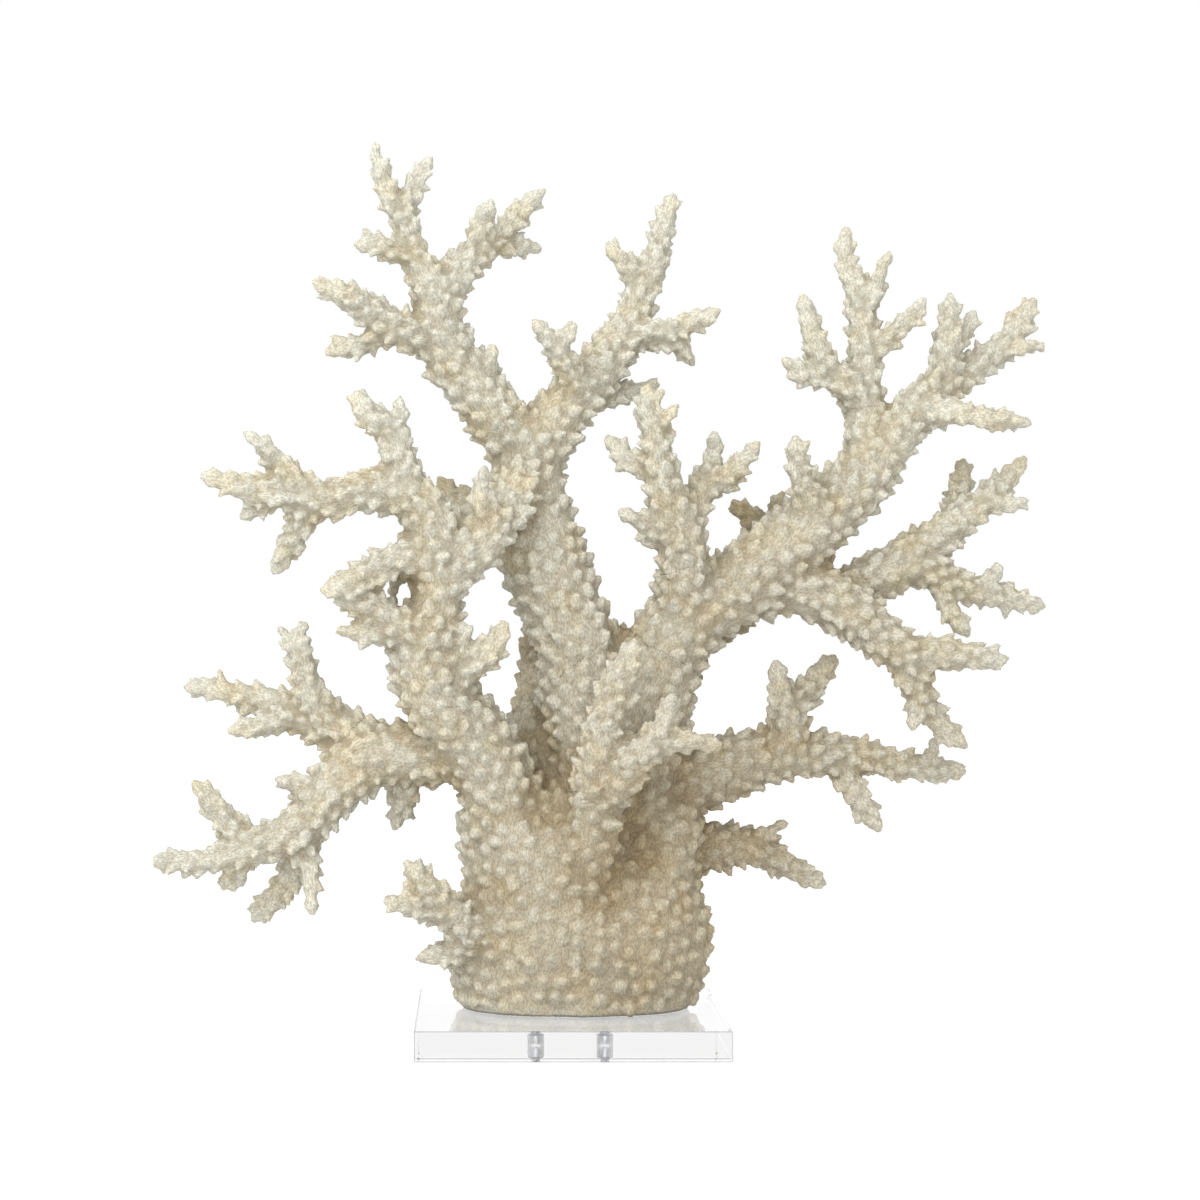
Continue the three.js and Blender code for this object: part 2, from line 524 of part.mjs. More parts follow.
// A small probe that tells which cut piece holds a point.
function probeAt(point) {
  const probe = new THREE.OctahedronGeometry(PROBE_RADIUS);
  probe.translate(point.x, point.y, point.z);
  probe.setIndex([...Array(probe.getAttribute('position').count).keys()]);
  return toSolid(probe);
}

function meshOf(name, solid, finish) {
  const mesh = new THREE.Mesh(toGeometry(solid), new THREE.MeshStandardMaterial(finish));
  mesh.name = name;
  return mesh;
}

const holePlaces = { left: -HOLE_SPACING / 2, right: HOLE_SPACING / 2 };

// Clear block, counterbored from below
function acrylicBlock() {
  const width = BLOCK_WIDTH - 2 * BLOCK_CHAMFER;
  const depth = BLOCK_DEPTH - 2 * BLOCK_CHAMFER;
  const outline = new THREE.Shape();
  outline.moveTo(-width / 2, -depth / 2);
  outline.lineTo(width / 2, -depth / 2);
  outline.lineTo(width / 2, depth / 2);
  outline.lineTo(-width / 2, depth / 2);
  outline.closePath();
  const body = new THREE.ExtrudeGeometry(outline, {
    depth: BLOCK_HEIGHT - 2 * BLOCK_CHAMFER,
    bevelEnabled: true,
    bevelThickness: BLOCK_CHAMFER,
    bevelSize: BLOCK_CHAMFER,
    bevelSegments: 1,
  });
  body.translate(0, 0, BLOCK_CHAMFER);
  body.setIndex([...Array(body.getAttribute('position').count).keys()]);
  let block = toSolid(body);
  const profile = [
    [0, -OVERRUN],
    [COUNTERBORE_RADIUS, -OVERRUN],
    [COUNTERBORE_RADIUS, COUNTERBORE_DEPTH],
    [HOLE_RADIUS, COUNTERBORE_DEPTH + CONE_HEIGHT],
    [HOLE_RADIUS, BLOCK_HEIGHT + OVERRUN],
    [0, BLOCK_HEIGHT + OVERRUN],
  ];
  for (const x of Object.values(holePlaces)) block = block.subtract(turned(profile, x));
  return block;
}

// Screw with a round head and a socket for the driver
function screw(x) {
  const headTop = COUNTERBORE_DEPTH - GAP;
  const headBottom = headTop - HEAD_HEIGHT;
  const profile = [
    [0, headBottom + SOCKET_DEPTH],
    [SOCKET_RADIUS, headBottom + SOCKET_DEPTH],
    [SOCKET_RADIUS, headBottom],
    [HEAD_RADIUS, headBottom],
    [HEAD_RADIUS, headTop],
    [SHANK_RADIUS, headTop + CONE_HEIGHT],
    [SHANK_RADIUS, BLOCK_HEIGHT + SCREW_REACH - SHANK_RADIUS],
    [0, BLOCK_HEIGHT + SCREW_REACH],
  ];
  return turned(profile, x, SCREW_SIDES);
}

function wholeCoral() {
  let coral = trunk();
  for (const branches of Object.values(CORAL)) {
    for (const points of branches) coral = coral.add(branch(points));
  }
  return coral;
}

// Pilot holes for the screws, in the coral's foot
function drilled(foot) {
  const holeTop = BLOCK_HEIGHT + SCREW_REACH + GAP;
  const pilot = [
    [0, FOOT - OVERRUN],
    [PILOT_RADIUS, FOOT - OVERRUN],
    [PILOT_RADIUS, holeTop - SHANK_RADIUS],
    [0, holeTop],
  ];
  return Object.values(holePlaces).reduce((solid, x) => solid.subtract(turned(pilot, x, SCREW_SIDES)), foot);
}

// Cuts the coral at its main forks and gives each piece to the stretch whose main branch it holds.
function coralPieces() {
  let coral = wholeCoral();
  for (const cut of CUTS) coral = coral.subtract(cutDisc(cut));
  const bodies = coral.decompose();
  return Object.entries(CORAL).map(([name, branches]) => {
    const isTrunk = name === 'coral_trunk';
    const main = branches[0];
    const probe = probeAt(isTrunk ? TRUNK_PROBE : place(main[main.length - 2]).point);
    const held = bodies.filter((body) => !body.intersect(probe).isEmpty());
    if (held.length !== 1) throw new Error(`${name} is in ${held.length} pieces`);
    const piece = drawnTogether(held[0]);
    return meshOf(name, isTrunk ? drilled(piece) : piece, CORAL_FINISH);
  });
}

const specimen = new THREE.Group();
specimen.add(meshOf('acrylic_block', acrylicBlock(), CLEAR_FINISH));
for (const [side, x] of Object.entries(holePlaces)) {
  specimen.add(meshOf(`mounting_screw_${side}`, screw(x), STEEL_FINISH));
}
specimen.add(...coralPieces());

export default specimen;
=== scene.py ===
"""A branching ivory coral on a clear block, held from below by two screws.

Metres, +Z up. The origin is the middle of the block's underside: X runs right, Y runs back.
"""
import bpy
import numpy as np
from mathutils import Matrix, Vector
from mathutils.bvhtree import BVHTree
from mathutils.kdtree import KDTree


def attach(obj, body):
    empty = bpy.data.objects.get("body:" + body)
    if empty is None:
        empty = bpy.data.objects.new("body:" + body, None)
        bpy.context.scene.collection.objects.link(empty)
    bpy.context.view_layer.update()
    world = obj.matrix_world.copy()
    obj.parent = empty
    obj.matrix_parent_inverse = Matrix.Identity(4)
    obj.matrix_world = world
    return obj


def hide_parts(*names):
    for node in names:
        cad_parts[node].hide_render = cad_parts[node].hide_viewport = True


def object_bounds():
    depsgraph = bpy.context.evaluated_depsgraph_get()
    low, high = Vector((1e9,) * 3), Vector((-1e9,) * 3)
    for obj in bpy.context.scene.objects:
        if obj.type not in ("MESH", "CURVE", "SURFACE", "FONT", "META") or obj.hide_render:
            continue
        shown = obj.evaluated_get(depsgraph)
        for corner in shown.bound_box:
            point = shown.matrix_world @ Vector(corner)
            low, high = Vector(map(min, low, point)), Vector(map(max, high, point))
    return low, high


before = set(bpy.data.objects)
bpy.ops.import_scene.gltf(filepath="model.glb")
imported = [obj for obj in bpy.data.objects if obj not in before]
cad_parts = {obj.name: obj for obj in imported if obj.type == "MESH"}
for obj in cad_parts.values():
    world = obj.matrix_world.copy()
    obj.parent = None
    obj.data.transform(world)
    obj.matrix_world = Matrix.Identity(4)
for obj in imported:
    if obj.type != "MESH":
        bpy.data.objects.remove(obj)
cad_low, cad_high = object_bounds()

MM = 0.001
NEVER_ZERO = 1e-12
WHITE = (1, 1, 1, 1)
draw = np.random.default_rng(20)

# The branches were read off as seen from one place in front. A knot is [across, down, depth, half]:
# across and down are picture units, depth is millimetres behind the block's middle, and half is half
# the branch's thickness in picture units.
EYE = np.array((-0.0462, -1.475, 0.2513))
SIGHT_ACROSS = 484.0
SIGHT_DOWN = 576.0
FOCAL = 2710.0
PICTURE = 1200.0
SENSOR_MM = 36.0

CORAL = {
    "coral_front_left_limb": [
        [[510, 850, 0, 44], [500, 790, -8, 40], [476, 742, -16, 38], [443, 702, -24, 38],
         [424, 655, -31, 37], [436, 600, -37, 26], [440, 560, -40, 28], [432, 527, -42, 28],
         [416, 504, -44, 25]],
        # arm that crosses in front of the centre limb, and its nub
        [[446, 572, -40, 28], [479, 542, -40, 26], [502, 511, -33, 24], [517, 488, -21, 22],
         [527, 472, -8, 21]],
        [[484, 518, -44, 14], [481, 494, -50, 11], [484, 472, -54, 7]],
        # two sprigs to the left, whose ends meet
        [[425, 564, -42, 20], [402, 558, -47, 18], [377, 569, -54, 16], [347, 585, -60, 15],
         [330, 589, -64, 10]],
        [[400, 562, -36, 13], [395, 583, -30, 8], [394, 603, -26, 4]],
        [[428, 648, -32, 26], [398, 628, -42, 21], [370, 606, -50, 17], [344, 594, -56, 15]],
        [[386, 630, -44, 17], [360, 633, -52, 12], [342, 630, -57, 6]],
        # forked sprig to the right
        [[450, 690, -30, 19], [468, 667, -38, 14], [464, 645, -42, 10], [463, 628, -44, 7]],
        [[468, 668, -38, 15], [486, 654, -41, 16], [497, 641, -43, 13], [503, 629, -44, 8]],
    ],
    "coral_left_arm": [
        [[430, 508, -44, 22], [402, 493, -46, 24], [378, 490, -48, 23], [350, 494, -51, 20],
         [325, 500, -54, 20], [300, 492, -57, 18]],
        [[306, 494, -56, 16], [285, 468, -60, 12], [267, 450, -63, 10], [251, 437, -65, 7]],
        [[298, 494, -57, 17], [270, 492, -61, 17], [250, 490, -64, 15], [230, 483, -67, 12],
         [208, 477, -69, 8]],
        [[268, 498, -59, 13], [254, 510, -57, 10], [246, 515, -56, 7]],
        [[306, 504, -54, 17], [300, 529, -50, 13], [287, 548, -46, 12], [277, 567, -43, 8]],
        [[407, 486, -46, 20], [399, 458, -49, 17], [392, 436, -52, 18], [388, 424, -54, 15]],
        [[388, 429, -54, 15], [367, 414, -58, 14], [360, 400, -60, 10]],
        [[394, 430, -54, 12], [401, 416, -51, 9], [400, 402, -49, 6]],
    ],
    "coral_low_left_arm": [
        [[500, 772, -2, 36], [470, 755, -5, 33], [440, 753, -8, 32], [402, 752, -11, 30],
         [370, 758, -15, 30], [335, 788, -20, 27], [303, 824, -25, 22], [273, 841, -29, 21],
         [245, 847, -33, 20], [222, 856, -36, 14], [198, 862, -39, 12], [175, 862, -42, 11],
         [158, 861, -44, 10]],
        [[312, 795, -22, 14], [296, 785, -26, 11], [283, 781, -29, 8]],
        [[246, 842, -33, 16], [228, 824, -36, 13], [213, 804, -39, 12], [198, 787, -42, 8]],
        [[246, 854, -31, 13], [236, 871, -25, 12], [227, 883, -21, 9]],
        [[306, 832, -22, 20], [298, 855, -16, 17], [290, 878, -10, 14], [275, 897, -5, 13],
         [259, 914, -1, 11]],
        [[303, 842, -24, 14], [309, 865, -27, 12], [311, 888, -30, 9], [312, 908, -32, 7]],
        [[408, 766, -4, 20], [405, 788, 2, 16], [402, 806, 6, 13], [396, 824, 9, 7]],
    ],
    "coral_low_left_upper_arm": [
        [[388, 752, -12, 26], [356, 735, -10, 22], [320, 722, -7, 20], [290, 711, -4, 18],
         [265, 701, -1, 15], [240, 695, 2, 13], [215, 690, 4, 11], [193, 688, 6, 9]],
        [[300, 716, -6, 15], [280, 719, -10, 13], [260, 725, -13, 11], [236, 730, -16, 8]],
        [[345, 743, -11, 13], [324, 740, -9, 9], [309, 739, -7, 6]],
        [[330, 720, -8, 19], [313, 698, -14, 18], [305, 676, -19, 15], [300, 655, -23, 14],
         [296, 640, -26, 12]],
        [[298, 648, -25, 10], [305, 626, -28, 5]],
        [[296, 646, -25, 10], [281, 630, -22, 5]],
    ],
    "coral_centre_limb": [
        [[604, 822, 4, 48], [598, 740, 2, 46], [584, 692, 1, 44], [577, 646, 1, 41], [558, 600, 1, 42],
         [543, 558, 1, 44], [531, 510, 0, 40], [526, 470, 0, 37], [528, 436, 0, 34]],
        # dark sprig behind
        [[525, 530, 10, 20], [498, 517, 38, 16], [474, 509, 54, 14], [455, 501, 62, 12], [441, 481, 68, 6]],
        [[470, 508, 55, 11], [466, 490, 61, 6]],
    ],
    "coral_left_crown": [
        [[519, 448, 0, 32], [501, 424, -4, 29], [484, 402, -7, 28], [467, 378, -10, 28],
         [452, 360, -13, 27], [443, 338, -16, 27], [438, 318, -19, 25], [437, 298, -22, 23],
         [426, 277, -25, 19], [416, 260, -27, 16], [409, 240, -29, 15], [406, 222, -31, 14],
         [402, 206, -33, 14]],
        [[401, 214, -32, 14], [386, 190, -37, 12], [379, 166, -41, 9], [375, 147, -44, 5]],
        [[404, 212, -32, 12], [417, 182, -28, 10], [428, 163, -25, 7]],
        [[412, 252, -28, 14], [388, 249, -35, 12], [362, 245, -42, 8]],
        [[441, 298, -20, 22], [457, 273, -14, 20], [471, 259, -9, 18], [487, 246, -5, 15]],
        [[480, 250, -7, 14], [481, 226, -13, 13], [489, 207, -17, 8]],
        [[486, 248, -5, 12], [506, 228, -1, 11], [522, 211, 3, 12], [536, 197, 6, 8]],
        [[484, 248, -5, 13], [502, 246, 2, 11], [520, 247, 7, 10], [536, 248, 11, 6]],
        [[432, 338, -16, 20], [402, 330, -24, 19], [375, 315, -30, 17], [350, 298, -36, 14],
         [332, 291, -40, 11], [317, 283, -44, 6]],
        [[394, 330, -26, 14], [370, 341, -22, 11], [350, 347, -19, 11], [333, 350, -16, 8]],
        [[484, 392, -6, 16], [489, 370, -14, 10], [493, 351, -19, 7]],
    ],
    "coral_right_crown": [
        [[538, 450, 0, 32], [550, 428, 3, 30], [567, 407, 7, 28], [582, 391, 11, 26], [611, 353, 20, 24],
         [625, 334, 24, 21], [635, 314, 28, 18], [638, 296, 31, 16], [645, 279, 34, 18],
         [653, 262, 37, 15], [659, 244, 40, 12], [664, 225, 43, 12], [672, 200, 46, 7]],
        [[640, 284, 32, 13], [624, 264, 27, 11], [611, 248, 24, 7]],
        [[628, 338, 24, 18], [652, 334, 18, 15], [675, 333, 13, 14]],
        [[668, 333, 14, 13], [695, 322, 9, 10], [714, 313, 5, 7]],
        [[670, 336, 14, 13], [683, 350, 18, 10], [690, 360, 20, 7]],
        [[582, 396, 6, 20], [572, 378, -3, 15], [562, 358, -10, 13], [555, 342, -14, 12]],
        [[558, 348, -12, 11], [545, 335, -17, 10], [537, 325, -20, 7]],
        [[556, 350, -12, 11], [566, 338, -15, 9], [572, 329, -17, 7]],
        [[588, 392, 15, 18], [607, 395, 22, 13], [624, 394, 28, 10], [641, 389, 33, 9], [653, 386, 36, 7]],
    ],
    "coral_right_limb": [
        [[630, 810, 6, 50], [638, 750, 4, 46], [650, 695, 2, 44], [664, 650, 2, 42], [694, 614, 2, 38],
         [733, 589, 3, 37], [769, 563, 5, 38], [800, 538, 8, 37], [829, 510, 11, 34], [858, 484, 14, 31],
         [880, 449, 16, 28]],
        [[818, 514, 4, 20], [806, 488, -6, 15], [799, 468, -12, 13], [796, 444, -18, 9]],
    ],
    "coral_middle_limb": [
        [[684, 626, 0, 34], [685, 590, -6, 29], [682, 548, -12, 25], [675, 520, -15, 23],
         [663, 482, -20, 19], [657, 450, -24, 15], [655, 430, -26, 14], [648, 410, -28, 12],
         [648, 394, -30, 10]],
        [[656, 431, -26, 10], [665, 417, -30, 8], [674, 409, -32, 6]],
        [[662, 474, -20, 15], [643, 466, -16, 12], [625, 458, -13, 11], [611, 442, -10, 8]],
        [[670, 542, -12, 17], [640, 522, -18, 10], [625, 514, -22, 8]],
        [[685, 548, -10, 20], [692, 512, -5, 16], [703, 488, 0, 16], [712, 466, 4, 11], [714, 439, 6, 8]],
        [[702, 490, 0, 15], [724, 478, -5, 13], [741, 463, -9, 10], [754, 448, -12, 8]],
    ],
    "coral_upper_right_limb": [
        [[872, 456, 15, 25], [867, 426, 20, 22], [864, 402, 23, 20], [864, 372, 26, 18],
         [864, 340, 29, 16], [862, 310, 31, 16], [857, 290, 33, 14], [848, 270, 34, 10],
         [845, 250, 35, 10], [845, 234, 36, 7]],
        [[861, 308, 31, 14], [872, 295, 27, 11], [880, 274, 23, 8], [888, 257, 20, 6]],
        [[868, 354, 28, 15], [888, 339, 22, 11], [905, 323, 17, 10], [921, 304, 13, 7]],
        [[864, 398, 22, 19], [846, 384, 17, 17], [832, 374, 14, 15], [820, 356, 11, 13], [813, 336, 9, 13],
         [804, 303, 6, 9]],
        [[828, 372, 14, 14], [812, 376, 8, 12], [797, 371, 4, 10], [787, 362, 1, 7]],
    ],
    "coral_upper_right_fan": [
        [[886, 449, 16, 26], [907, 420, 22, 23], [924, 402, 27, 21], [942, 387, 32, 20],
         [962, 376, 36, 17], [982, 361, 40, 16], [1005, 344, 44, 14], [1020, 325, 47, 13],
         [1031, 305, 49, 8]],
        [[943, 388, 31, 18], [946, 352, 27, 16], [949, 330, 24, 13], [950, 302, 21, 9]],
        [[949, 350, 27, 13], [962, 332, 32, 10], [972, 316, 35, 7]],
        [[1000, 350, 43, 13], [1020, 346, 38, 9], [1042, 346, 34, 5]],
        [[912, 412, 24, 19], [938, 412, 17, 16], [960, 413, 12, 13], [985, 418, 8, 10], [1010, 420, 5, 10],
         [1024, 423, 3, 7]],
    ],
    "coral_middle_right_arm": [
        [[762, 588, 4, 32], [800, 588, 9, 26], [832, 592, 14, 23], [868, 582, 19, 24], [900, 564, 23, 25],
         [926, 547, 27, 21], [950, 527, 31, 19], [975, 510, 35, 15], [995, 491, 38, 14],
         [1010, 476, 41, 10], [1021, 463, 43, 8]],
        [[984, 503, 35, 13], [1004, 503, 30, 9], [1023, 501, 26, 6]],
        [[945, 532, 31, 15], [957, 502, 45, 12], [962, 480, 54, 12], [963, 464, 58, 6]],
        [[905, 561, 23, 23], [930, 571, 24, 20], [955, 584, 25, 16], [985, 593, 26, 14],
         [1010, 599, 27, 12], [1037, 605, 28, 8]],
        [[976, 592, 26, 10], [990, 581, 21, 8], [999, 570, 16, 6]],
        [[943, 580, 22, 15], [945, 598, 18, 11], [953, 616, 15, 11], [964, 630, 13, 8]],
    ],
    "coral_lower_right_arm": [
        [[792, 586, 4, 28], [828, 598, 0, 28], [860, 619, -5, 26], [888, 642, -10, 23],
         [914, 656, -14, 19], [940, 652, -18, 17], [965, 656, -21, 14], [988, 660, -24, 12],
         [998, 660, -26, 9]],
        [[904, 652, -13, 20], [915, 682, -10, 17], [925, 705, -8, 14], [940, 725, -6, 12],
         [960, 742, -4, 9]],
        [[918, 692, -9, 11], [914, 712, -14, 9], [913, 724, -17, 7]],
    ],
    "coral_low_right_arm": [
        [[676, 783, 12, 37], [715, 771, 17, 34], [745, 762, 21, 30], [780, 754, 25, 26],
         [812, 753, 29, 23], [840, 755, 32, 20], [870, 757, 35, 17], [900, 765, 38, 14],
         [925, 768, 40, 13], [957, 771, 43, 9]],
        [[784, 754, 25, 25], [789, 732, 20, 21], [787, 714, 16, 18], [782, 694, 12, 13], [777, 669, 8, 9]],
        [[789, 712, 16, 15], [806, 692, 20, 14], [820, 675, 24, 12], [830, 662, 27, 9]],
        [[838, 760, 32, 17], [846, 778, 28, 14], [856, 794, 25, 13], [867, 812, 22, 12], [875, 824, 20, 9]],
        [[929, 768, 40, 9], [932, 750, 34, 7], [934, 742, 30, 6]],
    ],
    "coral_low_right_sprig": [
        [[672, 848, 20, 30], [715, 846, 28, 24], [745, 847, 34, 20], [765, 853, 38, 15],
         [785, 865, 42, 13], [803, 874, 45, 12], [818, 881, 48, 9]],
        [[748, 842, 34, 11], [767, 833, 32, 8], [781, 824, 28, 6]],
    ],
    "coral_base_sprig": [
        [[492, 938, -12, 27], [466, 926, -22, 21], [444, 907, -29, 17], [428, 888, -35, 15],
         [411, 868, -40, 10]],
        [[446, 912, -28, 15], [430, 910, -33, 12], [410, 905, -38, 12], [391, 902, -43, 8]],
    ],
    "coral_front_sprig": [
        [[600, 800, -30, 24], [614, 784, -44, 22], [632, 762, -56, 19], [655, 740, -64, 16],
         [668, 716, -67, 11], [671, 702, -68, 9]],
        [[586, 905, -14, 24], [590, 850, -21, 29], [598, 800, -33, 28], [601, 765, -43, 24],
         [605, 735, -51, 21], [613, 702, -57, 20], [624, 672, -62, 17], [632, 649, -65, 11]],
        [[652, 744, -62, 14], [686, 741, -67, 12], [715, 744, -70, 7]],
    ],
    "coral_back_left_limb": [
        [[540, 826, 12, 40], [537, 784, 16, 37], [536, 745, 27, 33], [541, 700, 50, 27],
         [544, 650, 76, 22], [545, 612, 84, 21], [543, 568, 90, 11]],
        [[546, 668, 68, 17], [568, 650, 84, 13], [586, 632, 94, 7]],
        [[556, 640, 83, 14], [540, 616, 94, 10], [530, 598, 101, 6]],
        [[540, 770, 30, 20], [526, 782, 56, 15], [510, 794, 78, 8]],
    ],
    "coral_back_right_limb": [
        [[642, 822, 22, 38], [648, 780, 48, 32], [655, 730, 62, 28], [672, 684, 72, 24],
         [692, 645, 79, 20], [724, 604, 84, 17], [750, 562, 85, 13], [755, 524, 80, 13],
         [739, 507, 76, 10]],
        [[750, 566, 85, 12], [769, 532, 78, 12], [781, 498, 72, 7]],
        [[676, 690, 71, 20], [662, 662, 86, 14], [654, 634, 96, 7]],
        [[700, 642, 79, 15], [738, 622, 92, 11], [762, 604, 100, 6]],
    ],
    "coral_trunk": [
        [[600, 930, 20, 34], [600, 900, 44, 24], [598, 872, 62, 17], [596, 850, 72, 9]],
        [[500, 900, 18, 30], [496, 872, 42, 22], [492, 848, 56, 16], [490, 828, 64, 8]],
        [[490, 956, -10, 18], [456, 953, -21, 15], [439, 955, -26, 11], [426, 956, -29, 8]],
    ],
}

# Clear block, and how densely its volume takes up light
BLOCK_WIDTH = 165 * MM
BLOCK_DEPTH = 150 * MM
BLOCK_HEIGHT = 16 * MM
BLOCK_CHAMFER = 0.5 * MM
BLOCK_RAYS = 96
HOLE_PLACE = 18.5 * MM
COUNTERBORE_RADIUS = 4.35 * MM
COUNTERBORE_DEPTH = 6.1 * MM
CONE_HEIGHT = 1 * MM
HOLE_RADIUS = 2.35 * MM
ACRYLIC_DENSITY = 1.5
# Places nearer than this are taken to be the same, and points that agree to so many digits are joined
TOUCHING = 1e-7
JOIN_DIGITS = 9

# Trunk, from the foot up: [height, middle in X, middle in Y, half width, half depth] in millimetres
FOOT = 16.1 * MM
TRUNK_RINGS = np.array([
    [16.1, 3.5, 3, 62.5, 37],
    [21.3, 3.5, 3, 65.5, 39],
    [31, 4, 3, 68.5, 40],
    [43, 6.5, 3, 70, 40],
    [55, 8, 3, 68.5, 40],
    [67, 9, 3, 67, 39.5],
    [79, 7.5, 3, 63, 38],
    [91, 5.5, 3, 62, 37.5],
    [103, 5.5, 3, 63, 37],
    [115, 5.5, 3, 65.5, 36],
    [125, 7, 5, 64, 32],
    [135, 7, 8, 56, 26],
])
# How far the bare trunk lies inside these rings, under its cups, and how far its top rises over them
TRUNK_SINK = 1.6
TRUNK_DOME = 8
TRUNK_ROWS = 90
TRUNK_CORNERS = 160
# Swells and hollows of the trunk: [x, y, z of the middle, reach, how far out] in millimetres
TRUNK_SWELLS = np.array([
    [-38, -30, 70, 34, 3.5],
    [-30, -30, 118, 26, 4],
    [6, -36, 60, 26, 2],
    [58, -18, 100, 26, 4],
    [52, -20, 48, 26, 2.5],
    [36, -34, 108, 22, -17],
    [20, -38, 84, 18, -6],
    [-14, -36, 126, 13, -8],
    [-9, -38, 20, 9, -3.5],
    [30, -34, 22, 12, -2],
    [-4, 42, 90, 24, -6],
    [44, 36, 70, 28, 4],
    [-44, 34, 60, 30, 4],
])

# Cups: the small knobs that cover the coral. Each is a short tube that flares at its root and has a
# dimpled end.
CUP_CORNERS = 10
# [height share, radius share] of a cup's outline, from its root to its dimple
CUP_OUTLINE = np.array([
    [-0.45, 1.55],
    [-0.04, 1.55],
    [0.26, 1.1],
    [0.62, 0.8],
    [0.9, 0.52],
    [1.0, 0.25],
])
CUP_DIMPLE = 0.98
# How a cup changes with the thickness of its branch, from the thinnest to the trunk: its radius, the
# space to the next cup in radii, its lean in degrees and its height in radii
THICKNESS = (0.0, 0.5, 1.0)
CUP_RADIUS = (1.75 * MM, 2.6 * MM, 2.8 * MM)
CUP_SPACING = (2.9, 3.15, 2.9)
CUP_LEAN = (38, 27, 16)
CUP_LENGTH = (2.05, 1.75, 1.4)
# How much cups differ: the usual spread, and between which shares a size stays
LEAN_SPREAD = 8
AXIS_SPREAD = 0.12
RADIUS_SPREAD = 0.15
RADIUS_SHARES = (0.65, 1.4)
HEIGHT_SPREAD = 0.22
HEIGHT_SHARES = (0.45, 1.7)
SQUASH_SPREAD = 0.08
# Cups are lower close to the foot: [height over the foot] and [share of their height]
FOOT_BAND = (6 * MM, 16 * MM)
FOOT_CUPS = (0.45, 1.0)
CUP_FREE_BAND = 5 * MM
# A branch's end carries one cup of this share of its radius, within these radii
END_SHARE = 0.8
END_RADII = (1.5 * MM, 3 * MM)
END_REACH = 1.2 * MM

# Bare branches, which lie inside by a share of the cups' radius: their corners, the step along them,
# and the height and angles of the domes on their ends
BRANCH_CORNERS = 18
LINE_STEP = 4 * MM
SINK_SHARE = 0.40
BARE_LEAST = 1.5 * MM
DOME_SHARE = 0.5
DOME_LIFTS = (30, 60)
TRUNK_RADIUS = 36 * MM

# Growth marks: how many stand round a branch, and the columns that each mark holds
MARK_CORNERS = 12
SPOT = slice(0, 3)
MIDDLE = slice(3, 6)
ALONG = slice(6, 9)
SIDE = slice(9, 12)
OVER = slice(12, 15)
REACH = 15
RADIUS = 16

# Skins, of the bare coral and then with its cups: the width of their squares and the rounds of easing
BASE_VOXEL = 2.0 * MM
SKIN_VOXEL = 1.25 * MM
JOINED_EASING = 4
SWOLLEN_EASING = 2
BASE_EASING = 10
SKIN_EASING = 3
# Forks are filled by swelling the bare coral by this share of each branch's radius and drawing it
# back in
FILL_SHARE = 0.2
FILL_BLUR = 20
# Clefts: the rounds of blur, first wide and then of the depth, and the depths that measure 0 and 1
CLEFT_ROUNDS = 140
CLEFT_BLUR = 2
CLEFT_LEAST = -1 * MM
CLEFT_MOST = 4 * MM
# Hollows, near and wide: [rounds of blur, usual depth, weight]
HOLLOWS = (
    (4, 0.12 * MM, 0.4),
    (26, 0.7 * MM, 0.8),
)
# What lies so close over the foot is drawn down onto it, as if sawn
SOLE_BAND = 0.9 * MM
# Grain: its usual height, how many times that it reaches at most, and its stretch along a branch
GRAIN = 0.12 * MM
GRAIN_MOST = 2
GRAIN_STRETCH = 0.5
# How far the coral stays inside the box of the solids
INSIDE = 0.2 * MM
# How the skin's squares are shared out among the nodes: the rounds of votes, the votes that a square
# gives way to, and the rounds in which stray patches are given away
VOTE_ROUNDS = 6
VOTES_LEAST = 3
STRAY_ROUNDS = 4

# Coral's colours on a crest, on a slope and in a cleft, and where the slope's colour lies between. The
# crest is painted lighter and the slope and the cleft darker and tanner: painted light and shade of the
# hollows.
CREST_COLOR = (0.485, 0.457, 0.373, 1)
SLOPE_SHADE_COLOR = (0.428, 0.393, 0.307, 1)
CLEFT_SHADE_COLOR = (0.352, 0.313, 0.236, 1)
CREST_END = 0.05
SLOPE_PLACE = 0.55
# The sawn sole's colour: painted light, bluish white as if lit from below through the block
SOLE_LIGHT_COLOR = (0.88, 0.91, 0.96, 1)
# Tints round a spot: [spot, distance where it is nothing, distance where it is whole, tint]
FAR_TINT = ((0.07, 0.0, 0.08), 0.07, 0.30, (1.07, 1.10, 1.13, 1))
# Painted shade: browner round the trunk's foot and middle
ROOT_SHADE = ((0.06, -0.01, 0.08), 0.112, 0.05, (0.83, 0.785, 0.71, 1))
# Painted shade: darker on the right, the side that the light reaches less
RIGHT_SHADE = ((0.13, -0.03, 0.2), 0.14, 0.06, (0.91, 0.90, 0.885, 1))
# Tints of the blotches, of the forks, and of what lies behind, over the band where that begins. The
# forks' and the back's tints are painted shade.
BLOTCH_TINT = (1.0, 0.93, 0.80, 1)
# Painted shade: forks and pockets darker and tanner
FORK_SHADE = (0.78, 0.73, 0.64, 1)
# Painted shade: what lies far behind is darker, as in shadow
BACK_SHADE = (0.70, 0.65, 0.56, 1)
BACK_SHADE_BAND = (44 * MM, 64 * MM)
# Noises: how many spots to a metre, and between which of its values the blotches set in
BLOTCHES = 45
BLOTCH_BAND = (0.45, 0.70)
GRAINS = 1100
